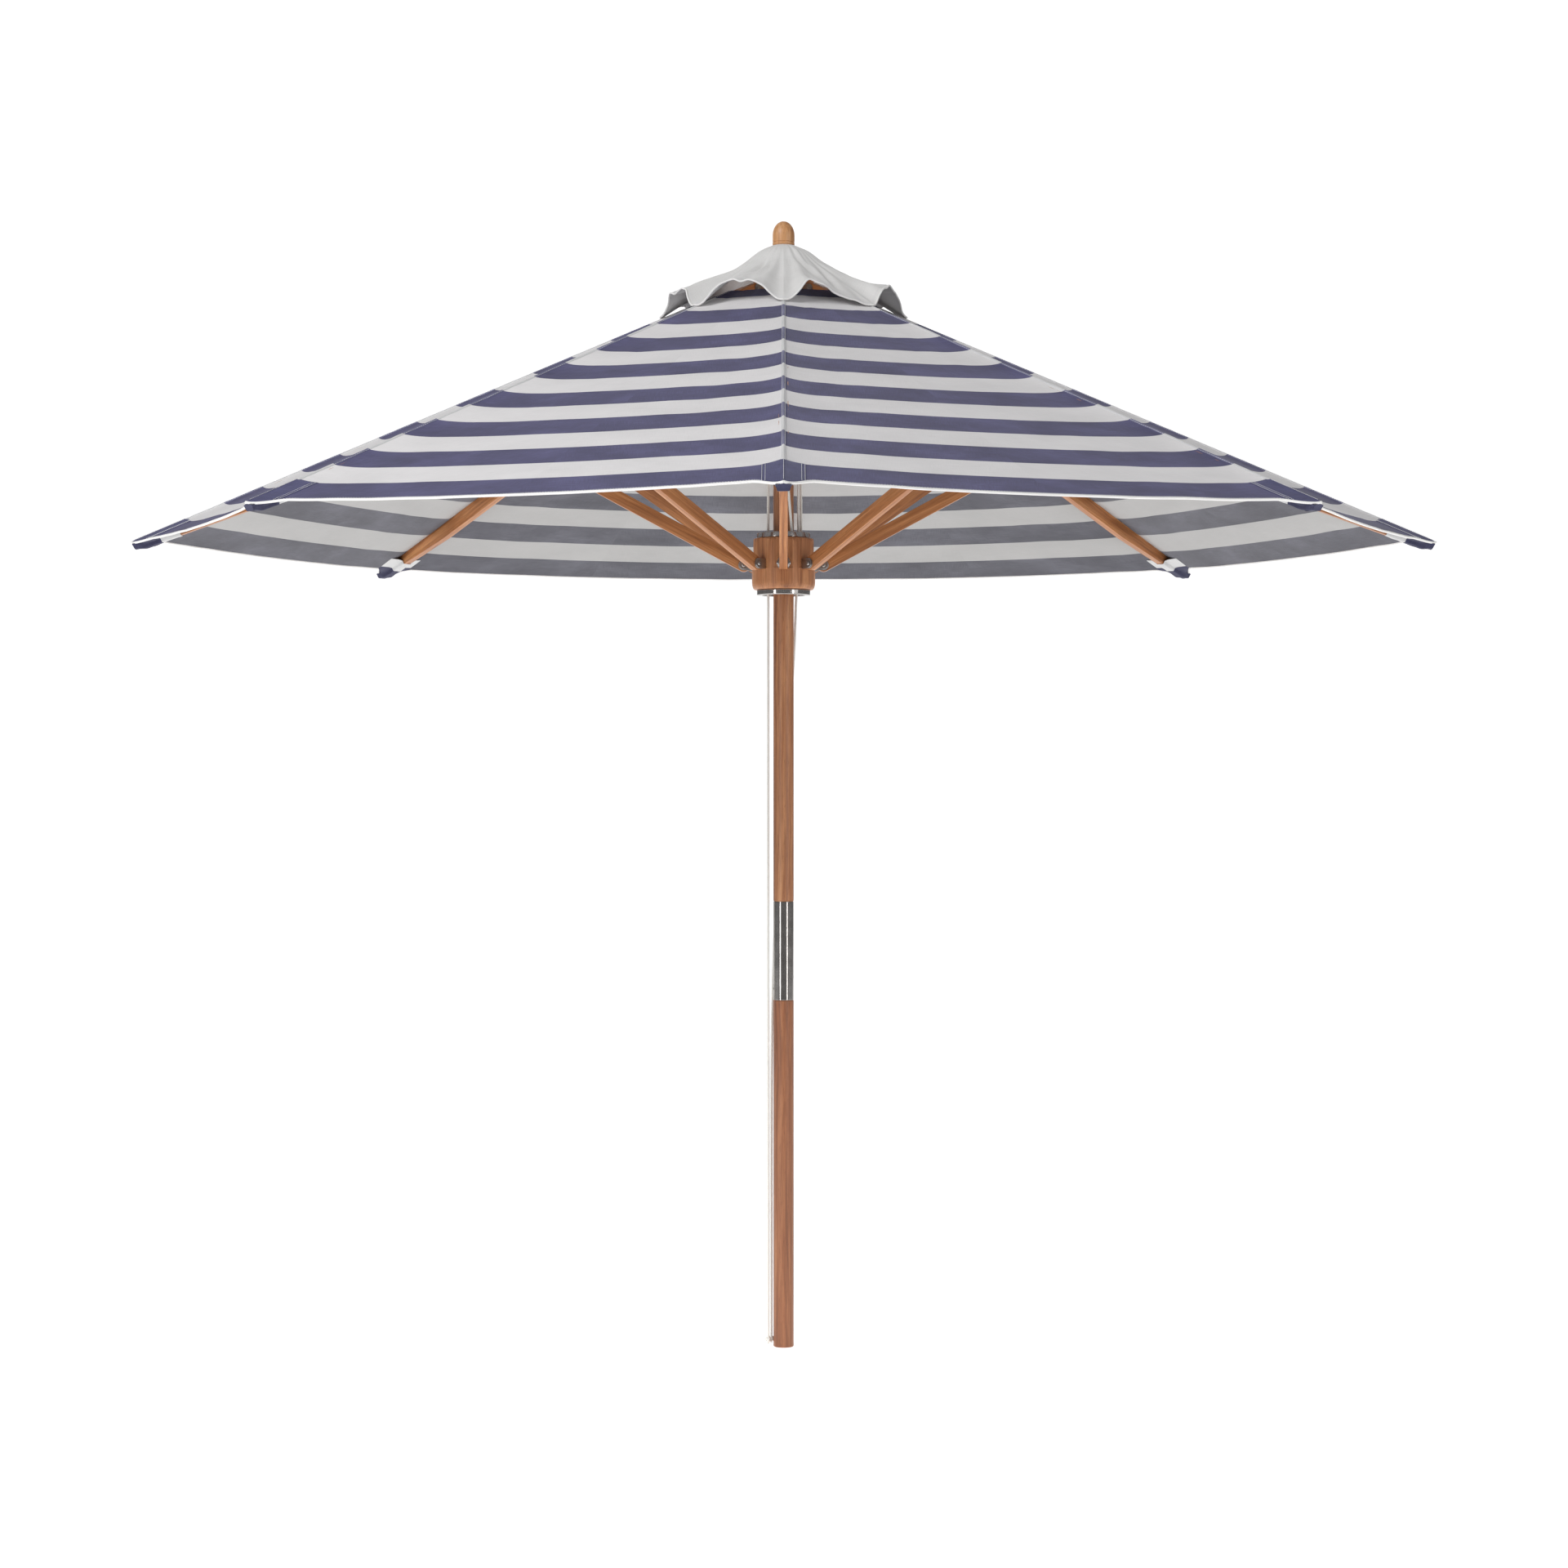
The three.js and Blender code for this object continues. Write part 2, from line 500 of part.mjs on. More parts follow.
/**
 * The vent cap: a thin octagonal tent from the finial's seat to a hem whose corners lie over the ribs and whose edges
 * arch up between them.
 */
function ventCap() {
  const seat = POLE_TOP_Z + GAP;
  const hemZ = ridgeZ(CAP_RADIUS) + CAP_LIFT;
  const rows = 3;
  const top = [];
  for (let i = 0; i <= rows; i += 1) {
    top.push([FINIAL_RADIUS + (CAP_RADIUS - FINIAL_RADIUS) * (i / rows), seat + (hemZ - seat) * (i / rows)]);
  }
  const outline = [[CAP_HOLE, seat], ...top, [CAP_RADIUS, hemZ + FABRIC],
    ...top.slice(0, -1).reverse().map(([radius, z]) => [radius, z + FABRIC]), [CAP_HOLE, seat + FABRIC],
    [CAP_HOLE, seat]];
  const cap = turned(outline, RIBS * 4);
  const position = cap.getAttribute('position');
  for (let i = 0; i < position.count; i += 1) {
    const x = position.getX(i);
    const y = position.getY(i);
    const radius = Math.hypot(x, y);
    const share = Math.max(0, (radius - FINIAL_RADIUS) / (CAP_RADIUS - FINIAL_RADIUS));
    const turn = Math.atan2(y, x) - RIB_1_AZIMUTH;
    const offRib = Math.abs(turn - Math.round(turn / PITCH) * PITCH);
    const octagon = Math.cos(PITCH / 2) / Math.cos(PITCH / 2 - offRib);
    const scale = 1 + (octagon - 1) * share;
    const arch = CAP_ARCH * Math.sin((offRib / (PITCH / 2)) * Math.PI / 2) ** 2 * share ** 2;
    position.setXYZ(i, x * scale, y * scale, position.getZ(i) + arch);
  }
  return closed(cap);
}

// ---------- cord ----------

/** The cord's section, round a point. */
function cordSection() {
  const sides = 8;
  const points = [];
  for (let i = 0; i < sides; i += 1) {
    const turn = (i / sides) * 2 * Math.PI;
    points.push(new THREE.Vector2(CORD_RADIUS * Math.cos(turn), CORD_RADIUS * Math.sin(turn)));
  }
  return new THREE.Shape(points);
}

const cordAlong = (path, steps) => solid(
  new THREE.ExtrudeGeometry(cordSection(), { steps, bevelEnabled: false, extrudePath: path }),
);

/** A straight run, a little longer at one or both ends where it joins a bend. */
function run(from, to, overStart = 0, overEnd = 0) {
  const along = to.clone().sub(from).normalize();
  return cordAlong(new THREE.LineCurve3(from.clone().addScaledVector(along, -overStart),
    to.clone().addScaledVector(along, overEnd)), 1);
}

/** The half turn round a pulley, over it for up = 1 or under it for up = -1. */
function halfTurn(place, up) {
  const steps = 8;
  const points = [];
  for (let i = 0; i <= steps; i += 1) {
    const turn = (i / steps) * Math.PI;
    const along = -place.radius * Math.cos(turn);
    points.push(new THREE.Vector3(place.x + along * Math.cos(place.azimuth),
      place.y + along * Math.sin(place.azimuth), place.z + up * place.radius * Math.sin(turn)));
  }
  return cordAlong(new THREE.CatmullRomCurve3(points), steps);
}

const at = (place, z) => new THREE.Vector3(place.x, place.y, z);

const JOIN = 1; // how far runs and bends of one cord pass into each other
const CORD_GAP = 1; // between two stretches of the cord, where one is at a slant
const leftTop = at(LEFT_FALL, CROWN_PULLEY_Z);
const frontTop = at(FRONT_TOP, CROWN_PULLEY_Z);
const frontFoot = at(FRONT_FOOT, RUNNER_PULLEY_Z);
const rightFoot = at(RIGHT_RISE, RUNNER_PULLEY_Z);
const rightRiseTop = at(RIGHT_RISE, CROWN_PULLEY_Z);

const leftCord = () => joined(
  run(at(LEFT_FALL, CORD_FOOT_Z), leftTop, 0, JOIN),
  halfTurn(CROWN_LEFT, 1),
);

/** The loop that hangs the runner from the crown's two pulleys. */
const cordBight = () => joined(
  run(frontTop, frontFoot, -CORD_GAP, JOIN),
  halfTurn(RUNNER_FRONT, -1),
  run(rightFoot, rightRiseTop, JOIN, -CORD_GAP),
);

/** The right fall: down through the runner, behind the pole and down beside the left one. */
const RIGHT_FALL_ROUTE = [
  [RIGHT_TOP.x, RIGHT_TOP.y, CROWN_PULLEY_Z], [38.4, 22, 2250], [39.4, 22, 2080], [40.5, 22, 1920], [40.2, 22, 1870], [35, 22, 1800],
  [29.8, 22.2, 1732], [27.4, 23.6, 1670], [24.8, 24.8, 1609], [17, 27.2, 1490], [7, 29, 1360], [-4, 29.2, 1220],
  [-14, 27.6, 1080], [-21.5, 24.6, 940], [-26, 21, 780], [-28, 18.4, 620], [-28.5, 17.2, 450], [-28.5, 17, 240],
  [-28.5, 17, CORD_FOOT_Z],
].map(([x, y, z]) => new THREE.Vector3(x, y, z));

const rightCord = () => joined(halfTurn(CROWN_RIGHT, 1),
  cordAlong(new THREE.CatmullRomCurve3(RIGHT_FALL_ROUTE), 48));

function knot(end) {
  const low = -GAP - KNOT_HEIGHT;
  const waist = KNOT_RADIUS * 0.6;
  return turned([[0, low], [waist, low], [KNOT_RADIUS, low * 0.75], [KNOT_RADIUS, low * 0.35], [waist, -GAP], [0, -GAP]],
    SMALL_ROUND).translate(end.x, end.y, end.z);
}

// ---------- assembly ----------

const umbrella = new THREE.Group();

const poles = new THREE.Group();
poles.add(
  part('lower_pole', closed(lowerPole()), WOOD),
  part('pole_sleeve', closed(poleSleeve()), STEEL),
  part('upper_pole', closed(upperPole()), WOOD),
  part('finial', closed(finial()), WOOD),
);

const crown = new THREE.Group();
crown.add(
  part('crown_barrel', geometryOf(crownBarrel()), WOOD),
  part('crown_ring_top', closed(hubRing(CROWN_FOOT_Z + BARREL_HEIGHT + GAP)), STEEL),
  part('crown_ring_bottom', closed(hubRing(CROWN_FOOT_Z - GAP - RING_HEIGHT)), STEEL),
  part('crown_brackets', geometryOf(hubBrackets(CROWN_PIVOT_Z, RIB_WIDTH)), STEEL),
);

const runner = new THREE.Group();
runner.add(
  part('runner_barrel', geometryOf(runnerBarrel()), WOOD),
  part('runner_ring_top', closed(hubRing(RUNNER_FOOT_Z + BARREL_HEIGHT + GAP)), STEEL),
  part('runner_ring_bottom', closed(hubRing(RUNNER_FOOT_Z - GAP - RING_HEIGHT)), STEEL),
  part('runner_brackets', geometryOf(hubBrackets(RUNNER_PIVOT_Z, STRUT_WIDTH)), STEEL),
);

for (const [name, place, group] of [['crown_left', CROWN_LEFT, crown], ['crown_right', CROWN_RIGHT, crown],
  ['runner', RUNNER_FRONT, runner]]) {
  const wheel = part(`${name}_pulley`, closed(pulley(place)), STEEL);
  const pin = part(`${name}_axle`, closed(axle()), STEEL);
  for (const mesh of [wheel, pin]) {
    mesh.position.set(place.x, place.y, place.z);
    mesh.rotation.z = place.azimuth;
    group.add(mesh);
  }
}

const frame = new THREE.Group();
const ribGeometry = geometryOf(rib());
const strutGeometry = geometryOf(strut());
const panelGeometry = { a: halfPanel(-1), b: halfPanel(1) };
for (let i = 0; i < RIBS; i += 1) {
  const direction = spoke(i);
  const ribMesh = part(`rib_${i + 1}`, ribGeometry, WOOD);
  ribMesh.position.set(PIVOT_RADIUS, 0, CROWN_PIVOT_Z);
  ribMesh.rotation.y = CANOPY_SLOPE;
  const strutMesh = part(`strut_${i + 1}`, strutGeometry, WOOD);
  strutMesh.position.set(PIVOT_RADIUS, 0, RUNNER_PIVOT_Z);
  strutMesh.rotation.y = -LINK_ANGLE;
  direction.add(ribMesh, strutMesh);
  frame.add(direction);

  // the two half panels that hang on this rib's ridge: b before it, a after it, counting anticlockwise
  for (const [letter, offset] of [['a', 0.5], ['b', -0.5]]) {
    const between = spoke(i + offset);
    const panel = part(`panel_${i + 1}${letter}`, panelGeometry[letter], CANVAS);
    panel.position.z = APEX_Z;
    panel.rotation.y = PANEL_SLOPE;
    between.add(panel);
    frame.add(between);
  }
}

const cords = new THREE.Group();
cords.add(
  part('cord_left', geometryOf(leftCord()), CORD),
  part('cord_bight', geometryOf(cordBight()), CORD),
  part('cord_right', geometryOf(rightCord()), CORD),
  part('knot_left', closed(knot(at(LEFT_FALL, CORD_FOOT_Z))), CORD),
  part('knot_right', closed(knot(RIGHT_FALL_ROUTE.at(-1))), CORD),
);

umbrella.add(poles, crown, runner, frame, cords, part('vent_cap', ventCap(), CAP_CANVAS));

export default umbrella;
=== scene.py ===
"""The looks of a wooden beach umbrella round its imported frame.

Metres, +Z up, the origin at the foot of the pole. Rib 1 points along -Y, and the ribs count anticlockwise seen
from above. The half panel "a" of a rib lies on its anticlockwise side, and "b" on its clockwise side.
"""

import json
import math

import bmesh
import bpy
from mathutils import Matrix, Vector, noise


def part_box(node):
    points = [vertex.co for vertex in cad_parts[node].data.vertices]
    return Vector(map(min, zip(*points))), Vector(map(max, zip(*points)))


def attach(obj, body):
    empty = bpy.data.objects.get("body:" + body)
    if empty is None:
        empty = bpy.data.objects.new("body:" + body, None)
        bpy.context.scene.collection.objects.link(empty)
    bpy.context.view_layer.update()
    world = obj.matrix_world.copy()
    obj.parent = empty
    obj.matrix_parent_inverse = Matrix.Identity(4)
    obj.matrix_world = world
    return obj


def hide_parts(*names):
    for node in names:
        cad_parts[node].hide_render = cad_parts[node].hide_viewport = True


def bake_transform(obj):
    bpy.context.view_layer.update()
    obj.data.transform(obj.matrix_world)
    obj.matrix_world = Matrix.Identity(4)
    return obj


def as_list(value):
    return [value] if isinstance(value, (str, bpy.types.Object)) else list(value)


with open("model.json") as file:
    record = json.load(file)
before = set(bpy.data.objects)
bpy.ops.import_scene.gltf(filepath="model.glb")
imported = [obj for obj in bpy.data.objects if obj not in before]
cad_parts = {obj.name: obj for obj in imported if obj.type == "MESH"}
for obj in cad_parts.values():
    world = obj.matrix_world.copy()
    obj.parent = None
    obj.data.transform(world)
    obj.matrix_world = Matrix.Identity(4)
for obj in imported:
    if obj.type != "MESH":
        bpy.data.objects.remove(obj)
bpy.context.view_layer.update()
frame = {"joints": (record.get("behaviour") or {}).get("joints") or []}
scene = bpy.context.scene
JOINT = {joint["name"]: joint for joint in frame["joints"]}

# ---------- sizes from the frame ----------

RIBS = 8
PITCH = math.tau / RIBS
APEX = Vector(JOINT["panel_1a_fold"]["pos_m"])  # where the ridge lines meet
RIDGE_SLOPE = -math.asin(JOINT["panel_1a_fold"]["axis"][2])
CROWN_PIVOT_Z = JOINT["rib_1_fold"]["pos_m"][2]
PIVOT_RADIUS = -JOINT["rib_1_fold"]["pos_m"][1]
RUNNER_PIVOT_Z = JOINT["runner_hold"]["pos_m"][2]
LINK_PIVOT = Vector(JOINT["strut_1_fold"]["pos_m"])  # the first strut's pivot under its rib
LINK_OUT, LINK_UP = -LINK_PIVOT.y - PIVOT_RADIUS, LINK_PIVOT.z - RUNNER_PIVOT_Z
LINK_ANGLE = math.atan2(LINK_UP, LINK_OUT)
LINK_LENGTH = math.hypot(LINK_UP, LINK_OUT)
RIM_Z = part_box("panel_1a")[0].z
CANOPY_RADIUS = (APEX.z - RIM_Z) / math.tan(RIDGE_SLOPE)
POLE_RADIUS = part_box("upper_pole")[1].x
POLE_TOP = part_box("upper_pole")[1].z
SLEEVE_LOW, SLEEVE_HIGH = (corner.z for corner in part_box("pole_sleeve"))
FINIAL_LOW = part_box("vent_cap")[1].z
FINIAL_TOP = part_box("finial")[1].z
CROWN_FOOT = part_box("crown_barrel")[0].z
RUNNER_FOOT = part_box("runner_barrel")[0].z
BARREL_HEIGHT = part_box("crown_barrel")[1].z - CROWN_FOOT
FLAT_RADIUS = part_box("crown_barrel")[1].x
CORD_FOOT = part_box("cord_left")[0].z

# ---------- sizes that the frame doesn't give, as in the CAD source ----------

GAP = 0.0003
CLOTH = 0.001
RIM_INSET, CORNER_FLARE = 0.035, 0.066
VENT_RADIUS = 0.170
BARREL_RADIUS = FLAT_RADIUS + 0.0035
BARREL_END = BARREL_RADIUS - 0.006
SHOULDER, FLAT_DEPTH = 0.018, 0.070
RING_OUT, RING_IN, RING_HEIGHT = 0.062, 0.050, 0.013
RIB_WIDTH, RIB_DEPTH, RIB_DROP = 0.020, 0.035, 0.0045
RIB_TIP_DEPTH, RIB_TAPER, RIB_TIP_GAP = 0.022, 0.260, 0.025
PIVOT_DROP = 0.020
STRUT_WIDTH, STRUT_DEPTH, STRUT_RISE = 0.019, 0.030, 0.005
EAR, EAR_GAP, EAR_END = 0.002, 0.0004, 0.012
BRACKET_HALF = 0.023  # half the length of the bracket under a rib
CORD_RADIUS = 0.003

PANEL_SLANT = math.hypot(CANOPY_RADIUS * math.cos(PITCH / 2), APEX.z - RIM_Z)
PANEL_SLOPE = math.atan2(APEX.z - RIM_Z, CANOPY_RADIUS * math.cos(PITCH / 2))
HALF_RIM = CANOPY_RADIUS * math.sin(PITCH / 2)
FAN = math.atan2(HALF_RIM, PANEL_SLANT)  # between a panel's centreline and its ridge
VENT = PANEL_SLANT * VENT_RADIUS / CANOPY_RADIUS  # from the apex down the slope to the vent's edge
RIB_TOP = PIVOT_DROP * math.cos(RIDGE_SLOPE) - RIB_DROP
RIB_FOOT = RIB_TOP - RIB_DEPTH
RIB_REACH = (CANOPY_RADIUS - PIVOT_RADIUS) / math.cos(RIDGE_SLOPE)
RIB_LENGTH = RIB_REACH - PIVOT_DROP * math.sin(RIDGE_SLOPE) - RIB_TIP_GAP
LINK_X = LINK_LENGTH * math.cos(LINK_ANGLE - RIDGE_SLOPE)  # the strut's pivot in the rib's own frame
LINK_Z = -LINK_LENGTH * math.sin(LINK_ANGLE - RIDGE_SLOPE)

# stripes, by the distance up the cloth from the line through the corners
STRIPE_PERIOD, STRIPE_WIDTH, FIRST_STRIPE_END = 0.181, 0.0905, 0.1255


def azimuth(count):
    """The direction of a rib, and between two ribs at half counts."""
    return -math.pi / 2 + (count - 1) * PITCH


def spoke(count):
    return Matrix.Rotation(azimuth(count), 4, "Z")


Z_ALONG_Y = Matrix.Rotation(-math.pi / 2, 4, "X")  # lays a turned part's axis along y
Z_AGAINST_Y = Matrix.Rotation(math.pi / 2, 4, "X")


# ---------- camera ----------

camera = bpy.data.objects.new("camera", bpy.data.cameras.new("camera"))
scene.collection.objects.link(camera)
scene.camera = camera
camera.location = (0.001, -7.5, 1.298)
camera.rotation_euler = (math.pi / 2, 0, 0)
camera.data.lens = 74.6
camera.data.sensor_width = 36
camera.data.clip_end = 200
scene.view_settings.view_transform = "Standard"

# ---------- material helpers ----------


def linear(colour, factor=1.0, lift=0):
    """An sRGB colour of three numbers from 0 to 255, made darker or lighter, as a linear one with alpha."""
    shares = [min(255, c * factor + lift) / 255 for c in colour]
    return [s / 12.92 if s < 0.04045 else ((s + 0.055) / 1.055) ** 2.4 for s in shares] + [1]


class Shading:
    """A material's node tree, with short calls for the nodes that it needs."""

    def __init__(self, name, **sockets):
        self.material = bpy.data.materials.new(name)
        self.material.use_nodes = True
        self.tree = self.material.node_tree
        self.shader = self.tree.nodes["Principled BSDF"]
        for socket, value in sockets.items():
            self.shader.inputs[socket.replace("_", " ")].default_value = value

    def node(self, kind, inputs=(), **settings):
        node = self.tree.nodes.new("ShaderNode" + kind)
        for key, value in settings.items():
            setattr(node, key, value)
        for key, value in dict(inputs).items():
            self.put(value, node.inputs[key])
        return node

    def put(self, value, socket):
        if isinstance(value, bpy.types.NodeSocket):
            self.tree.links.new(value, socket)
        else:
            socket.default_value = value

    def coordinates(self):
        """The piece's own coordinates, moved by a different amount on each piece."""
        place = self.node("TexCoord").outputs["Object"]
        shift = self.node("VectorMath", {0: (7.3, 3.1, 5.7), 3: self.node("ObjectInfo").outputs["Random"]},
                          operation="SCALE").outputs[0]
        return self.node("VectorMath", {0: place, 1: shift}, operation="ADD").outputs[0]

    def noise(self, vector, scale, detail=3, roughness=0.55):
        """Noise with its own scale along each axis, in features to the metre."""
        stretched = self.node("VectorMath", {0: vector, 1: scale}, operation="MULTIPLY").outputs[0]
        return self.node("TexNoise", {"Vector": stretched, "Scale": 1.0, "Detail": detail,
                                      "Roughness": roughness}).outputs["Fac"]

    def clouds(self, vector, scale, detail, output="Fac"):
        """Noise with one scale all round."""
        return self.node("TexNoise", {"Vector": vector, "Scale": scale, "Detail": detail}).outputs[output]

    def math(self, operation, a, b=0.0, c=0.0, clamp=False):
        return self.node("Math", {0: a, 1: b, 2: c}, operation=operation, use_clamp=clamp).outputs[0]

    def ramp(self, factor, *stops):
        node = self.node("ValToRGB", {"Fac": factor})
        elements = node.color_ramp.elements
        while len(elements) < len(stops):
            elements.new(0.5)
        for element, (position, colour) in zip(elements, stops):
            element.position = position
            element.color = colour
        return node.outputs["Color"]

    def mix(self, factor, a, b, blend="MIX"):
        node = self.node("Mix", data_type="RGBA", blend_type=blend)
        self.put(factor, node.inputs[0])
        self.put(a, node.inputs[6])
        self.put(b, node.inputs[7])
        return node.outputs[2]

    def range(self, value, low, high, from_low=0.0, from_high=1.0):
        return self.node("MapRange", {"Value": value, "From Min": from_low, "From Max": from_high,
                                      "To Min": low, "To Max": high}).outputs["Result"]

    def bump(self, height, strength, distance):
        node = self.node("Bump", {"Height": height, "Strength": strength, "Distance": distance})
        self.put(node.outputs["Normal"], self.shader.inputs["Normal"])

    def colour(self, value):
        self.put(value, self.shader.inputs["Base Color"])

    def roughness(self, value):
        self.put(value, self.shader.inputs["Roughness"])


def wood(name, dark, mid, light, grain="X"):
    """Stained hardwood with its grain along one axis of the piece: growth streaks, fine fibres and pores."""
    shading = Shading(name, Coat_Weight=0.30, Coat_Roughness=0.28, Specular_IOR_Level=0.4)

    def along(axial, across):
        return (axial, across, across) if grain == "X" else (across, across, axial)

    place = shading.coordinates()
    wander = shading.clouds(place, 2.2, 1.0, "Color")
    bent = shading.node("VectorMath", {0: wander, 1: (0.030, 0.030, 0.030), 2: place},
                        operation="MULTIPLY_ADD").outputs[0]
    broad = shading.noise(bent, along(1.3, 46), 2)
    streak = shading.noise(bent, along(4.5, 190), 3)
    fibre = shading.noise(place, along(16, 900), 2, 0.7)
    pore = shading.noise(place, along(55, 1500), 1)
    grown = shading.math("MULTIPLY_ADD", streak, 0.55, shading.math("MULTIPLY", broad, 0.45))
    body = shading.ramp(grown, (0.30, linear(dark)), (0.50, linear(mid)), (0.70, linear(light)))
    fibred = shading.mix(shading.range(fibre, 0.0, 0.55, 0.45, 0.75), body, linear(mid, 0.62))
    pored = shading.mix(shading.range(pore, 0.0, 0.6, 0.66, 0.74), fibred, linear(dark, 0.45))
    blotch = shading.range(shading.clouds(place, 5.0, 2.0), 0.0, 0.28, 0.35, 0.75)
    shading.colour(shading.mix(blotch, pored, linear(mid, 0.8)))
    shading.roughness(shading.range(fibre, 0.36, 0.58))
    shading.bump(shading.math("MULTIPLY_ADD", pore, -0.6, fibre), 0.35, 0.0004)
    return shading.material


def steel(name, roughness, along):
    """Polished stainless steel with fine brushing across its length and a few faint smears."""
    shading = Shading(name, Metallic=1.0, Specular_IOR_Level=0.5)
    place = shading.coordinates()
    brushed = shading.noise(place, along, 2)
    smear = shading.clouds(place, 34.0, 3.0)
    # The steel's colours are darker than stainless steel's own, which darkens every reflection in it: painted
    # shade, with real faint smears between the two colours.
    shading.colour(shading.mix(smear, linear((166, 161, 158)), linear((186, 182, 179))))
    shading.roughness(shading.math("MULTIPLY_ADD", smear, 0.10, roughness))
    shading.bump(brushed, 0.05, 0.000008)
    return shading.material


def striped(name, navy, white, always=None):
    """Woven canvas with stripes along the rim, placed by the cloth's own map: x across and y up from the rim.

    always leaves out the stripes: 1 is all navy and 0 is all white.
    """
    shading = Shading(name, Roughness=0.85, Sheen_Weight=0.12, Sheen_Roughness=0.6, Specular_IOR_Level=0.25)
    cloth = shading.node("UVMap", uv_map="cloth").outputs["UV"]
    dyed = always
    if always is None:
        height = shading.node("SeparateXYZ", {0: cloth}).outputs["Y"]
        edge = shading.math("LESS_THAN", height, FIRST_STRIPE_END)
        count = shading.math("DIVIDE", shading.math("SUBTRACT", height, RIM_INSET), STRIPE_PERIOD)
        band = shading.math("LESS_THAN", shading.math("FRACT", count), STRIPE_WIDTH / STRIPE_PERIOD)
        dyed = shading.math("MAXIMUM", edge, band)
    weft = shading.noise(cloth, (26, 1300, 1), 2, 0.6)
    warp = shading.noise(cloth, (1300, 26, 1), 2, 0.6)
    heather = shading.math("MULTIPLY_ADD", weft, 0.6, shading.math("MULTIPLY", warp, 0.4))
    cloud = shading.noise(cloth, (7, 11, 1), 3)
    shade = shading.math("MULTIPLY_ADD", cloud, 0.35, shading.math("MULTIPLY", heather, 0.65))
    navy_cloth = shading.ramp(shade, (0.36, linear(navy, 0.80)), (0.50, linear(navy)),
                              (0.66, linear(navy, 1.22, 6)))
    white_cloth = shading.ramp(shade, (0.34, linear(white, 0.93)), (0.62, linear(white)))
    shading.colour(shading.mix(dyed, white_cloth, navy_cloth))
    shading.roughness(shading.range(heather, 0.78, 0.95))
    shading.bump(heather, 0.30, 0.0006)
    return shading.material


def twine(name, colour, pitch):
    """Twisted yarn, with a soft bump where the strands turn round."""
    shading = Shading(name, Roughness=0.75, Sheen_Weight=0.2, Sheen_Roughness=0.5)
    place = shading.node("TexCoord").outputs["Object"]
    strands = shading.node("TexWave", {"Vector": place, "Scale": 1 / pitch, "Distortion": 1.5, "Detail": 1.0},
                           wave_type="BANDS", bands_direction="DIAGONAL").outputs["Fac"]
    soil = shading.math("MULTIPLY", shading.clouds(place, 12.0, 3.0), 0.4)
    shade = shading.math("MULTIPLY_ADD", strands, 0.35, soil)
    shading.colour(shading.mix(shade, linear(colour), linear(colour, 0.92)))
    shading.bump(strands, 0.35, 0.0004)
    return shading.material


FRAME_WOOD = wood("frame_wood", (124, 70, 36), (186, 120, 70), (222, 158, 102))
HUB_WOOD = wood("hub_wood", (134, 78, 44), (196, 130, 84), (228, 170, 120), "Z")
POLE_WOOD = wood("pole_wood", (116, 68, 42), (172, 114, 76), (208, 150, 104), "Z")
FOOT_WOOD = wood("foot_wood", (102, 58, 36), (156, 98, 64), (190, 130, 88), "Z")
FINIAL_WOOD = wood("finial_wood", (168, 110, 66), (214, 158, 108), (238, 190, 144), "Z")
STEEL = steel("polished_steel", 0.10, (300, 300, 2500))
PLATE_STEEL = steel("plate_steel", 0.24, (1800, 300, 300))
CANVAS_TOP = striped("canvas_top", (80, 78, 114), (234, 232, 233))
# The canopy's underside takes a darker, greyer copy of the top's canvas: painted shade.
CANVAS_UNDER_SHADED = striped("canvas_under_painted_shade", (90, 90, 98), (182, 181, 180))
NAVY = striped("navy_canvas", (76, 76, 112), (214, 214, 216), 1.0)
# The pockets under the corners take a darker navy than the corner patches: painted shade.
POCKET_NAVY_SHADED = striped("pocket_canvas_painted_shade", (60, 60, 86), (214, 214, 216), 1.0)
# PALE is a darker copy of the cap's top white, for the cap's underside and the pockets' pale flaps: painted
# shade.
PALE = striped("pale_canvas_painted_shade", (80, 80, 116), (218, 218, 218), 0.0)
PALE_TOP = striped("cap_canvas", (80, 80, 116), (232, 231, 230), 0.0)
SEAM_CLOTH = striped("seam_canvas", (112, 112, 140), (222, 222, 222))
NAVY_TRIM = twine("navy_trim", (78, 78, 112), 0.004)
PIPING = twine("piping", (250, 249, 247), 0.006)
THREAD = twine("thread", (226, 226, 230), 0.002)
CORD_YARN = twine("cord_yarn", (248, 246, 240), 0.009)

# ---------- mesh helpers ----------


def outward(mesh):
    """Turns a mesh's faces to point out."""
    form = bmesh.new()
    form.from_mesh(mesh)
    bmesh.ops.recalc_face_normals(form, faces=form.faces)
    form.to_mesh(mesh)
    form.free()


def piece(name, verts, faces, material, sharp=40, matrix=None):
    mesh = bpy.data.meshes.new(name)
    mesh.from_pydata([tuple(v) for v in verts], [], faces)
    outward(mesh)
    return placed(name, mesh, material, sharp, matrix)


def placed(name, mesh, material, sharp=40, matrix=None):
    """A smooth-shaded piece of a mesh, sharp where two faces meet at more than the angle given."""
    if material is not None:
        mesh.materials.append(material)
    mesh.shade_smooth()
    mesh.set_sharp_from_angle(angle=math.radians(sharp))
    obj = bpy.data.objects.new(name, mesh)
    scene.collection.objects.link(obj)
    if matrix is not None:
        obj.matrix_world = matrix
    return obj


def copy_of(obj, name, matrix):
    """Another piece with the same mesh, somewhere else."""
    twin = bpy.data.objects.new(name, obj.data)
    scene.collection.objects.link(twin)
    twin.matrix_world = matrix
    return twin


def set_on(obj, body, replaces=()):
    """Finishes a rigid piece: the body that it rides on and the CAD nodes that it stands for."""
    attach(obj, body)
    if replaces:
        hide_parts(*replaces)


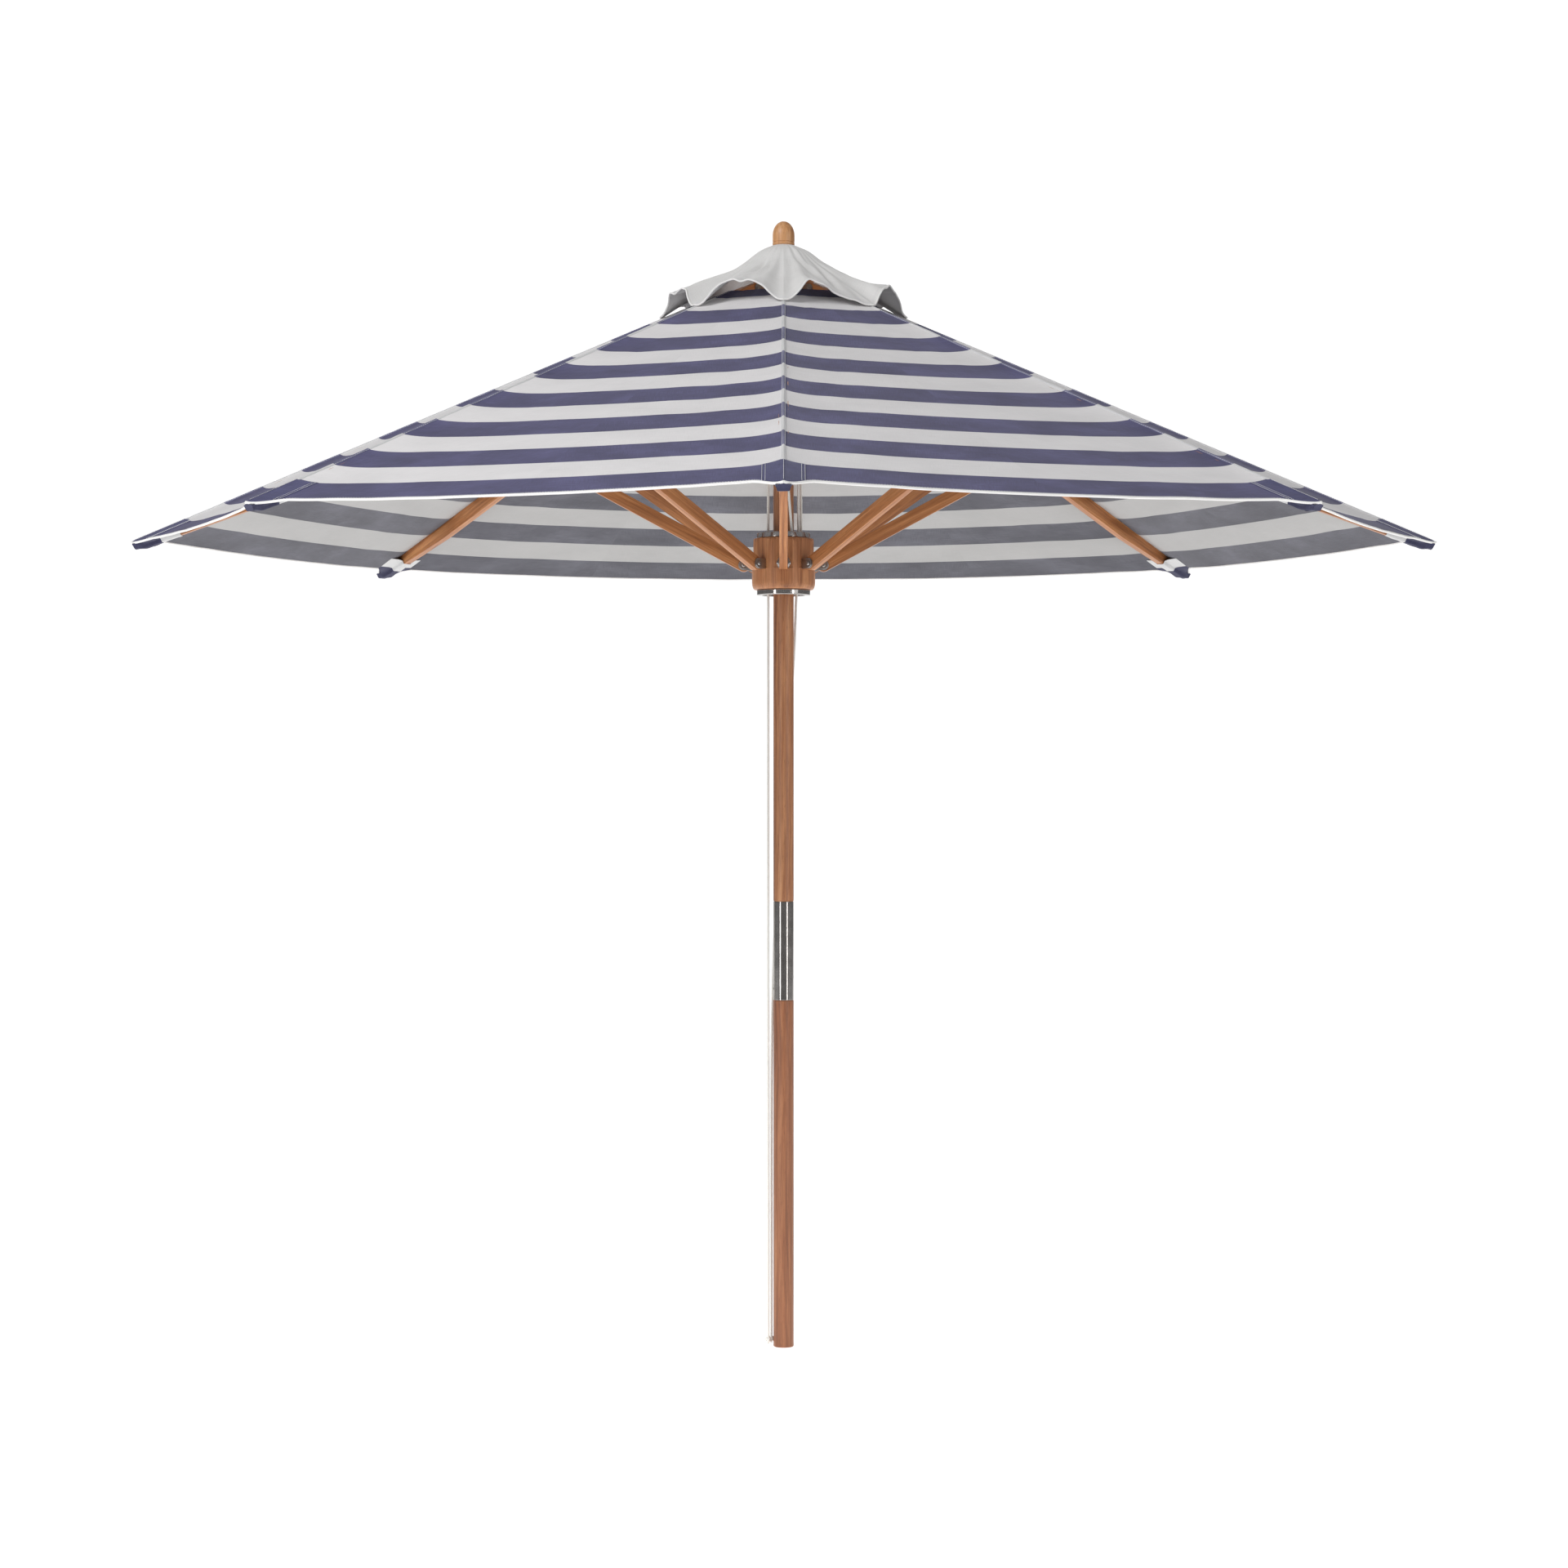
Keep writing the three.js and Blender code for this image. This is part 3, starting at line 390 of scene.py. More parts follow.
def braced(outline):
    """An outline with a point close to each end of its long straight runs, so that these shade as flat."""
    long_run, inset = 0.006, 0.0005
    points = [outline[0]]
    for before, after in zip(outline, outline[1:]):
        length = math.dist(before, after)
        if length > long_run:
            for share in (inset / length, 1 - inset / length):
                points.append(tuple(a + (b - a) * share for a, b in zip(before, after)))
        points.append(after)
    return points


def lathe(name, outline, material, segments=96, radial=None, angles=None, matrix=None, sharp=35):
    """A body turned about z from points of radius and z. radial(radius, z, angle) may change a radius."""
    outline = braced(outline)
    angles = angles or [math.tau * k / segments for k in range(segments)]
    count = len(angles)
    verts, rows = [], []
    for radius, z in outline:
        if radius < 1e-6:
            rows.append([len(verts)] * count)
            verts.append((0, 0, z))
            continue
        rows.append(range(len(verts), len(verts) + count))
        for angle in angles:
            r = radial(radius, z, angle) if radial else radius
            verts.append((r * math.cos(angle), r * math.sin(angle), z))
    faces = []
    for low, high in zip(rows, rows[1:]):
        for k in range(count):
            corners = [low[k], low[(k + 1) % count], high[(k + 1) % count], high[k]]
            face = list(dict.fromkeys(corners))
            if len(face) > 2:
                faces.append(face)
    if outline[0] == outline[-1]:  # a ring, whose last row is its first
        first, last = rows[0], rows[-1]
        faces = [[first[last.index(v)] if v in last else v for v in face] for face in faces]
        verts = verts[: len(verts) - count]
    return piece(name, verts, faces, material, sharp, matrix)


def rounded(corners, radius, steps=3):
    """A closed outline with each corner cut to a small arc."""
    points = []
    count = len(corners)
    for k, corner in enumerate(corners):
        here = Vector(corner)
        before, after = Vector(corners[k - 1]) - here, Vector(corners[(k + 1) % count]) - here
        reach = min(radius, before.length / 2.2, after.length / 2.2)
        start, end = here + before.normalized() * reach, here + after.normalized() * reach
        for step in range(steps + 1):
            t = step / steps
            points.append(tuple(start * (1 - t) ** 2 + here * 2 * t * (1 - t) + end * t * t))
    return points


def arc(centre, radius, start, end, steps):
    """Points of an arc in a plane, its angles in degrees."""
    turns = [math.radians(start + (end - start) * k / steps) for k in range(steps + 1)]
    return [(centre[0] + radius * math.cos(t), centre[1] + radius * math.sin(t)) for t in turns]


def slab(outline, width, centre=0.0, bevel=0.0008):
    """A bmesh of a flat outline in x and z with a width along y and softened edges."""
    form = bmesh.new()
    near = [form.verts.new((x, centre - width / 2, z)) for x, z in outline]
    form.faces.new(near)
    pushed = bmesh.ops.extrude_face_region(form, geom=form.faces[:])["geom"]
    far = [v for v in pushed if isinstance(v, bmesh.types.BMVert)]
    bmesh.ops.translate(form, vec=(0, width, 0), verts=far)
    bmesh.ops.recalc_face_normals(form, faces=form.faces)
    if bevel:
        rims = [e for e in form.edges if any(len(f.verts) == len(outline) for f in e.link_faces)]
        bmesh.ops.bevel(form, geom=rims, offset=bevel, segments=2, profile=0.6, affect="EDGES",
                        clamp_overlap=True)
    return form


def join(name, forms, material, matrix=None, sharp=35):
    """One mesh of several bmeshes."""
    whole = bmesh.new()
    for form in forms:
        mesh = bpy.data.meshes.new("part")
        form.to_mesh(mesh)
        form.free()
        whole.from_mesh(mesh)
        bpy.data.meshes.remove(mesh)
    mesh = bpy.data.meshes.new(name)
    whole.to_mesh(mesh)
    whole.free()
    return placed(name, mesh, material, sharp, matrix)


def tube_mesh(points, radius, sides=10, twist=0.0, closed=False):
    """Vertices and faces of a tube along points, with capped ends. twist gives it strands, in turns a metre."""
    points = [Vector(p) for p in points]
    count = len(points)
    verts, faces = [], []
    side = None
    travelled = 0.0
    for k, point in enumerate(points):
        if closed:
            along = (points[(k + 1) % count] - points[k - 1]).normalized()
        else:
            along = (points[min(k + 1, count - 1)] - points[max(k - 1, 0)]).normalized()
        if side is None:
            side = along.orthogonal().normalized()
        side = (side - along * side.dot(along)).normalized()
        up = along.cross(side)
        travelled += (point - points[k - 1]).length if k else 0
        for step in range(sides):
            turn = math.tau * step / sides
            ripple = 1 + (0.05 * math.cos(3 * turn + math.tau * twist * travelled) if twist else 0)
            verts.append(point + (side * math.cos(turn) + up * math.sin(turn)) * radius * ripple)
    for k in range(count if closed else count - 1):
        a, b = k * sides, ((k + 1) % count) * sides
        for step in range(sides):
            nxt = (step + 1) % sides
            faces.append([a + step, a + nxt, b + nxt, b + step])
    if not closed:
        faces.append(list(range(sides))[::-1])
        faces.append([(count - 1) * sides + step for step in range(sides)])
    return verts, faces


def tube(name, points, radius, material, sides=10, twist=0.0, matrix=None):
    verts, faces = tube_mesh(points, radius, sides, twist)
    return piece(name, verts, faces, material, 60, matrix)


def dashes(name, points, pitch, length, radius):
    """A row of stitches along points: short thread ends that dive into the cloth."""
    points = [Vector(p) for p in points]
    lengths = [0.0]
    for before, after in zip(points, points[1:]):
        lengths.append(lengths[-1] + (after - before).length)

    def at(distance):
        for k in range(1, len(points)):
            if distance <= lengths[k] or k == len(points) - 1:
                share = (distance - lengths[k - 1]) / max(lengths[k] - lengths[k - 1], 1e-9)
                return points[k - 1].lerp(points[k], share)

    verts, faces = [], []
    for k in range(int(lengths[-1] / pitch)):
        start = k * pitch + (pitch - length) / 2
        stops = [at(start + length * t) for t in (0, 0.25, 0.75, 1)]
        along = (stops[3] - stops[0]).normalized()
        side = along.orthogonal().normalized()
        up = along.cross(side)
        base = len(verts)
        for stop, size in zip(stops, (0.35, 1, 1, 0.35)):
            for turn in range(4):
                angle = math.tau * turn / 4 + 0.4
                verts.append(stop + (side * math.cos(angle) + up * math.sin(angle)) * radius * size)
        for row in range(3):
            for turn in range(4):
                a, b = base + row * 4 + turn, base + row * 4 + (turn + 1) % 4
                faces.append([a, b, b + 4, a + 4])
        faces.append([base + 3, base + 2, base + 1, base])
        faces.append([base + 12, base + 13, base + 14, base + 15])
    return piece(name, verts, faces, THREAD, 60)


def smooth_path(points, step=0.012):
    """A smooth curve through points, as points a step apart: a centripetal Catmull-Rom spline."""
    points = [Vector(p) for p in points]
    ends = [points[0] * 2 - points[1], *points, points[-1] * 2 - points[-2]]
    path = [points[0]]
    for p0, p1, p2, p3 in zip(ends, ends[1:], ends[2:], ends[3:]):
        t1 = (p1 - p0).length ** 0.5
        t2 = t1 + (p2 - p1).length ** 0.5
        t3 = t2 + (p3 - p2).length ** 0.5
        count = max(1, round((p2 - p1).length / step))
        for k in range(1, count + 1):
            t = t1 + (t2 - t1) * k / count
            a1 = p0.lerp(p1, t / t1)
            a2 = p1.lerp(p2, (t - t1) / (t2 - t1))
            a3 = p2.lerp(p3, (t - t2) / (t3 - t2))
            path.append(a1.lerp(a2, t / t2).lerp(a2.lerp(a3, (t - t1) / (t3 - t1)), (t - t1) / (t2 - t1)))
    return path


def path_length(path):
    return sum((after - before).length for before, after in zip(path, path[1:]))


def smoothstep(t):
    t = max(0.0, min(1.0, t))
    return t * t * (3 - 2 * t)


# ---------- cord ----------

LEFT_FALL = (-0.0355, 0.0)
FRONT_TOP = (-0.0245, -0.027)
FRONT_FOOT = (0.0225, -0.031)
RIGHT_RISE = (0.0342, -0.006)
RIGHT_TOP = (0.038, 0.022)
CROWN_PULLEY_Z = CROWN_FOOT + 0.036
RUNNER_PULLEY_Z = RUNNER_FOOT + 0.089
RIGHT_FALL_ROUTE = [
    (0.0380, 0.0220, CROWN_FOOT), (0.0384, 0.0220, 2.250), (0.0394, 0.0220, 2.080), (0.0405, 0.0220, 1.920),
    (0.0402, 0.0220, 1.870), (0.0350, 0.0220, 1.800), (0.0298, 0.0222, 1.732), (0.0274, 0.0236, 1.670),
    (0.0248, 0.0248, 1.609), (0.0170, 0.0272, 1.490), (0.0070, 0.0290, 1.360), (-0.0040, 0.0292, 1.220),
    (-0.0140, 0.0276, 1.080), (-0.0215, 0.0246, 0.940), (-0.0260, 0.0210, 0.780), (-0.0280, 0.0184, 0.620),
    (-0.0285, 0.0172, 0.450), (-0.0285, 0.0170, 0.240), (-0.0285, 0.0170, CORD_FOOT),
]
CORD_TWIST = 38  # turns a metre


def straight_run(start, end, count):
    start, end = Vector(start), Vector(end)
    return [start.lerp(end, k / count) for k in range(count + 1)]


def half_turn(start, end, z, up):
    """The half circle of cord over a pulley (up = 1) or under it (up = -1)."""
    middle, reach = (Vector(start) + Vector(end)) / 2, (Vector(end) - Vector(start)) / 2
    points = []
    for k in range(17):
        turn = math.pi * k / 16
        flat = middle - reach * math.cos(turn)
        points.append((flat.x, flat.y, z + up * reach.length * math.sin(turn)))
    return points


def knot(name, end):
    """A tight overhand knot at the cord's foot, with its short tail."""
    loop, drop, weave, yarn = 0.0017, 0.0085, 0.0036, 0.0027
    points = []
    for t in (math.tau * k / 60 for k in range(60)):
        x, y = math.sin(t) + 2 * math.sin(2 * t), math.cos(t) - 2 * math.cos(2 * t)
        points.append(end + Vector((loop * x, loop * y, -drop - weave * math.sin(3 * t))))
    verts, faces = tube_mesh(points, yarn, 10, 0.0, True)
    tail, tail_faces = tube_mesh([end - Vector((0, 0, z)) for z in (0, 0.006, 0.012, 0.0176)], yarn, 10, 60)
    faces += [[v + len(verts) for v in face] for face in tail_faces]
    return piece(name, verts + tail, faces, CORD_YARN, 60)


def build_cords():
    falls = {
        "left": (straight_run((*LEFT_FALL, CROWN_FOOT), (*LEFT_FALL, CORD_FOOT), 15), LEFT_FALL, FRONT_TOP),
        "right": (RIGHT_FALL_ROUTE, RIGHT_TOP, RIGHT_RISE),
    }
    for side, (route, drop, rise) in falls.items():
        path = smooth_path(route)
        fall = tube(f"cord_{side}_fall", path, CORD_RADIUS, CORD_YARN, 12, CORD_TWIST)
        set_on(fall, "mast", [f"cord_{side}"])
        end = knot(f"cord_{side}_knot", path[-1])
        set_on(end, "mast", [f"knot_{side}"])
        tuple(path[0])
        path_length(path)
        inside = [(*drop, CROWN_FOOT), *half_turn(drop, rise, CROWN_PULLEY_Z, 1)]
        set_on(tube(f"cord_{side}_over_pulley", inside, CORD_RADIUS, CORD_YARN, 12), "mast")
    top = CROWN_PULLEY_Z - 0.001
    route = straight_run((*FRONT_TOP, top), (*FRONT_FOOT, RUNNER_PULLEY_Z), 40)[:-1]
    route += half_turn(FRONT_FOOT, RIGHT_RISE, RUNNER_PULLEY_Z, -1)
    route += straight_run((*RIGHT_RISE, RUNNER_PULLEY_Z), (*RIGHT_RISE, top), 40)[1:]
    loop = tube("cord_runner_loop", route, CORD_RADIUS, CORD_YARN, 12, CORD_TWIST)
    set_on(loop, "runner", ["cord_bight"])


# ---------- pole, sleeve and finial ----------

TENON = POLE_RADIUS - 0.0018  # the pole's radius inside its sleeve


def shoulder(sleeve_end, away):
    """The step where the pole goes into the sleeve, from the outside in. away is 1 upwards and -1 downwards."""
    return [(POLE_RADIUS, sleeve_end + away * 0.002), (POLE_RADIUS - 0.0012, sleeve_end + away * GAP),
            (TENON, sleeve_end + away * GAP)]


def build_poles():
    """The pole's two parts meet in the middle of the sleeve, and the finial's peg stands in the pole's top."""
    r, ease = POLE_RADIUS, 0.003
    under, over = (SLEEVE_LOW + SLEEVE_HIGH) / 2 - 0.001, (SLEEVE_LOW + SLEEVE_HIGH) / 2 + 0.001
    foot = [(0, 0), *arc((r - ease, ease), ease, -90, 0, 4), *shoulder(SLEEVE_LOW, -1), (TENON, under),
            (0, under)]
    set_on(lathe("lower_pole_wood", foot, FOOT_WOOD, 64), "lower_pole", ["lower_pole"])
    bore, bore_foot = 0.0123, POLE_TOP - 0.040
    upper = [(0, over), (TENON, over), *reversed(shoulder(SLEEVE_HIGH, 1)), (r, POLE_TOP - 0.002),
             (r - 0.002, POLE_TOP), (bore, POLE_TOP), (bore, bore_foot), (0, bore_foot)]
    set_on(lathe("upper_pole_wood", upper, POLE_WOOD, 64), "mast", ["upper_pole"])
    build_sleeve()
    build_finial()


def build_sleeve():
    r, bore, lip, low, high = POLE_RADIUS, POLE_RADIUS - 0.0015, 0.0004, SLEEVE_LOW, SLEEVE_HIGH
    outline = [(bore, low + lip), (bore + lip, low), (r - lip, low), (r, low + lip), (r, high - lip),
               (r - lip, high), (bore + lip, high), (bore, high - lip), (bore, low + lip)]
    set_on(lathe("sleeve_tube", outline, STEEL, 96, sharp=50), "lower_pole", ["pole_sleeve"])
    for k, (height, turn) in enumerate(((0.026, 200), (0.052, 20))):
        head = screw_head(f"sleeve_screw_{k + 1}", 0.0034, 0.0014, on_side(r - 0.0004, low + height, turn))
        set_on(head, "lower_pole")


def build_finial():
    """A turned cap with a small bead and groove round its foot, a straight side and a dome."""
    r, straight, peg = 0.0254, 0.0225, 0.012
    seat, peg_foot = FINIAL_LOW + GAP, POLE_TOP - 0.036
    rise = FINIAL_TOP - seat - straight
    turns = [math.pi / 2 * k / 14 for k in range(1, 14)]
    foot = [(r - 0.0022, 0), (r - 0.0006, 0.0007), (r, 0.0024), (r, 0.0062), (r - 0.0009, 0.0070),
            (r - 0.0009, 0.0078), (r, 0.0086), (r, straight)]
    dome = [(r * math.cos(t), straight + rise * math.sin(t) ** 0.96) for t in turns]
    side = [(x, seat + z) for x, z in foot + dome]
    outline = [(0, peg_foot), (peg, peg_foot), (peg, seat), *side, (0, FINIAL_TOP)]
    set_on(lathe("finial_cap", outline, FINIAL_WOOD, 72), "mast", ["finial"])


def on_side(radius, z, degrees):
    """A place on the round side of a part, with its own z pointing out."""
    return (Matrix.Rotation(math.radians(degrees), 4, "Z") @ Matrix.Translation((radius, 0, z))
            @ Matrix.Rotation(math.pi / 2, 4, "Y"))


def screw_head(name, radius, height, matrix):
    """A small round screw head along +z with a socket for a key."""
    edge = height * 0.7
    outline = [(0, 0), (radius, 0), *arc((radius - edge, height - edge), edge, 0, 90, 4),
               (radius * 0.46, height), (radius * 0.44, height * 0.45), (0, height * 0.45)]
    return lathe(name, outline, PLATE_STEEL, 24, lambda r, z, a: r if r > radius * 0.5 else r * hexagon(a),
                 matrix=matrix)


def hexagon(angle):
    """The radius of a hexagon in a direction, with its corners at 1."""
    within = (angle + math.pi / 6) % (math.pi / 3) - math.pi / 6
    return math.cos(math.pi / 6) / math.cos(math.pi / 6 - abs(within))


# ---------- hubs ----------

FLAT_HALF = math.acos(FLAT_RADIUS / BARREL_RADIUS)


def barrel(name, foot, bore, cutters):
    """A turned hub with rounded shoulders, a flat behind each bracket, and slots for its cord and pulleys."""
    ease = [k / 6 * math.pi / 2 for k in range(7)]
    bulge = BARREL_RADIUS - BARREL_END
    rise = [(BARREL_END + bulge * math.sin(t), SHOULDER * (1 - math.cos(t))) for t in ease]
    top = [(r, BARREL_HEIGHT - z) for r, z in reversed(rise)]
    step = BARREL_HEIGHT - FLAT_DEPTH
    edge = 0.001
    outline = [(bore, edge), (bore + edge, 0), *rise, (BARREL_RADIUS, step - 0.0007),
               (BARREL_RADIUS, step + 0.0003), *top, (bore + edge, BARREL_HEIGHT), (bore, BARREL_HEIGHT - edge),
               (bore, edge)]
    within = [-PITCH / 2 + k * (PITCH / 2 - FLAT_HALF) / 3 for k in range(3)]
    within += [-FLAT_HALF + k * FLAT_HALF / 5 for k in range(11)]
    within += [FLAT_HALF + k * (PITCH / 2 - FLAT_HALF) / 3 for k in range(1, 3)]
    angles = [azimuth(i + 1) + a for i in range(RIBS) for a in within]

    def flats(radius, z, angle):
        off = (angle - azimuth(1) + PITCH / 2) % PITCH - PITCH / 2
        if z > step and radius > BARREL_END - 0.001:
            return min(radius, FLAT_RADIUS / math.cos(off))
        return radius

    body = lathe(name, outline, None, radial=flats, angles=angles, sharp=30)
    body.data.transform(Matrix.Translation((0, 0, foot)))
    for cutter in cutters:
        cut = body.modifiers.new("cut", "BOOLEAN")
        cut.operation, cut.solver, cut.object = "DIFFERENCE", "EXACT", cutter
    bpy.context.view_layer.update()
    carved = bpy.data.meshes.new_from_object(body.evaluated_get(bpy.context.evaluated_depsgraph_get()))
    body.modifiers.clear()
    body.data = carved
    carved.materials.clear()
    carved.materials.append(HUB_WOOD)
    carved.set_sharp_from_angle(angle=math.radians(30))
    for cutter in cutters:
        bpy.data.objects.remove(cutter)
    return body


def box_cutter(low, high, matrix=Matrix()):
    form = bmesh.new()
    bmesh.ops.create_cube(form, size=1)
    size, middle = Vector(high) - Vector(low), (Vector(high) + Vector(low)) / 2
    place = matrix @ Matrix.Translation(middle) @ Matrix.Diagonal((*size, 1))
    bmesh.ops.transform(form, matrix=place, verts=form.verts)
    mesh = bpy.data.meshes.new("cutter")
    form.to_mesh(mesh)
    form.free()
    obj = bpy.data.objects.new("cutter", mesh)
    scene.collection.objects.link(obj)
    return obj


def pulley_place(start, end, z):
    """A pulley's matrix, with y along its axle, and the radius of the cord round it."""
    start, end = Vector(start), Vector(end)
    middle, span = (start + end) / 2, end - start
    matrix = Matrix.Translation((middle.x, middle.y, z)) @ Matrix.Rotation(math.atan2(span.y, span.x), 4, "Z")
    return matrix, span.length / 2


def pocket(matrix, radius, to_end):
    """The slot for one pulley, open to one end of its hub."""
    reach, half = radius + 0.0045, 0.006
    return box_cutter((-reach, -half, min(to_end, -reach)), (reach, half, max(to_end, reach)), matrix)


def pulley(name, matrix, radius, node, body):
    rim, floor, half, groove = radius + 0.003, radius - CORD_RADIUS - 0.0003, 0.0045, 0.0036
    channel = [(floor + (rim - floor) * (1 - math.cos(math.radians(a))), groove * math.sin(math.radians(a)))
               for a in range(-90, 91, 15)]
    outline = [(0.0032, -half), (rim - 0.0006, -half), (rim, -half + 0.0005), *channel, (rim, half - 0.0005),
               (rim - 0.0006, half), (0.0032, half), (0.0032, -half)]
    set_on(lathe(name, outline, PLATE_STEEL, 40, matrix=matrix), body, [node])


def build_hub(name, foot, bore, pivot_z, body, link_width, cutters):
    set_on(barrel(f"{name}_hub", foot, bore, cutters), body, [f"{name}_barrel"])
    section = rounded([(RING_IN, 0), (RING_OUT, 0), (RING_OUT, RING_HEIGHT), (RING_IN, RING_HEIGHT)], 0.0022)
    section.append(section[0])
    for place, low in (("bottom", foot - GAP - RING_HEIGHT), ("top", foot + BARREL_HEIGHT + GAP)):
        ring = lathe(f"{name}_{place}_collar", section, STEEL, 96, matrix=Matrix.Translation((0, 0, low)))
        set_on(ring, body, [f"{name}_ring_{place}"])
        for k in range(3):
            matrix = on_side(RING_OUT - GAP, low + RING_HEIGHT / 2, 120 * k - 74)
            set_on(screw_head(f"{name}_{place}_screw_{k + 1}", 0.0026, 0.0012, matrix), body)
    back = FLAT_RADIUS + GAP
    ear = [(back, -EAR_END), *arc((PIVOT_RADIUS, 0), EAR_END, -90, 90, 12), (back, EAR_END)]
    corners = [(back, -EAR_END), (back + EAR, -EAR_END), (back + EAR, EAR_END), (back, EAR_END)]
    base = rounded(corners, 0.0003, 1)
    on_each_spoke(f"{name}_bracket", lambda made, matrix: bracket(made, ear, base, link_width, matrix),
                  lambda i: spoke(i) @ Matrix.Translation((0, 0, pivot_z)), body,
                  lambda i: [f"{name}_brackets"] if i == 1 else [])


def on_each_spoke(name, make, place, body, replaces=lambda i: []):
    """A piece on every spoke, all with one mesh. place(i) is the piece's matrix on spoke i."""
    first = make(f"{name}_1", place(1))
    for i in range(1, RIBS + 1):
        made = first if i == 1 else copy_of(first, f"{name}_{i}", place(i))
        set_on(made, body.format(i), replaces(i))


def bracket(name, ear, base, link_width, matrix):
    """A U bracket: an ear on each side of a link, and the plate that joins the two."""
    inside = link_width / 2 + EAR_GAP
    forms = [slab(ear, EAR, side * (inside + EAR / 2), 0.0005) for side in (-1, 1)]
    forms.append(slab(base, 2 * inside + 0.0002, 0, 0))
    return join(name, forms, PLATE_STEEL, matrix)


def build_hubs():
    left, left_radius = pulley_place(LEFT_FALL, FRONT_TOP, CROWN_PULLEY_Z)
    right, right_radius = pulley_place(RIGHT_RISE, RIGHT_TOP, CROWN_PULLEY_Z)
    front, front_radius = pulley_place(FRONT_FOOT, RIGHT_RISE, RUNNER_PULLEY_Z)
    cutters = [pocket(left, left_radius, -0.041), pocket(right, right_radius, -0.041)]
    build_hub("crown", CROWN_FOOT, POLE_RADIUS + 0.0003, CROWN_PIVOT_Z, "mast", RIB_WIDTH, cutters)
    low, high = RUNNER_FOOT - 0.005, RUNNER_FOOT + BARREL_HEIGHT + 0.005
    cutters = [pocket(front, front_radius, 0.034),
               box_cutter((0.0255, 0.017, low), (0.0455, 0.027, high)),
               box_cutter((-0.040, -0.0045, low), (-0.031, 0.0045, high))]
    build_hub("runner", RUNNER_FOOT, POLE_RADIUS + 0.0015, RUNNER_PIVOT_Z, "runner", STRUT_WIDTH, cutters)
    half, r, ease = 0.0075, 0.0029, 0.0005
    pin = [(0, -half), (r - ease, -half), (r, ease - half), (r, half - ease), (r - ease, half), (0, half)]
    for name, matrix, radius, body in (("crown_left", left, left_radius, "mast"),
                                       ("crown_right", right, right_radius, "mast"),
                                       ("runner", front, front_radius, "runner")):
        pulley(f"{name}_wheel", matrix @ Z_AGAINST_Y, radius, f"{name}_pulley", f"{name}_pulley")
        set_on(lathe(f"{name}_pin", pin, PLATE_STEEL, 24, matrix=matrix @ Z_AGAINST_Y), body,
               [f"{name}_axle"])


# ---------- ribs and struts ----------


def bolt(name, link_width, matrix):
    """A bolt along z, with a washer and a domed head with a key socket at each end."""
    face = link_width / 2 + EAR_GAP + EAR + GAP
    head = face + 0.0015
    side = [(0.0030, face), (0.0092, face), (0.0100, face + 0.0005), (0.0100, head - 0.0005), (0.0094, head),
            *arc((0.0022, head), 0.0026, 0, 60, 5), (0.0021, head + 0.0023), (0.0019, head + 0.0013),
            (0, head + 0.0013)]
    outline = [(r, -z) for r, z in reversed(side)] + side
    return lathe(name, outline, PLATE_STEEL, 24, lambda r, z, a: r * hexagon(a) if r < 0.0022 else r,
                 matrix=matrix)


def rib_place(i):
    """Rib i's own frame: x down the rib from its pivot, y along the pivot and z up."""
    pivot = spoke(i) @ Matrix.Translation((PIVOT_RADIUS, 0, CROWN_PIVOT_Z))
    return pivot @ Matrix.Rotation(RIDGE_SLOPE, 4, "Y")


def strut_place(i, x=0):
    """Strut i's own frame, or a place along it: x up the strut from its pivot on the runner."""
    pivot = spoke(i) @ Matrix.Translation((PIVOT_RADIUS, 0, RUNNER_PIVOT_Z))
    return pivot @ Matrix.Rotation(-LINK_ANGLE, 4, "Y") @ Matrix.Translation((x, 0, 0))


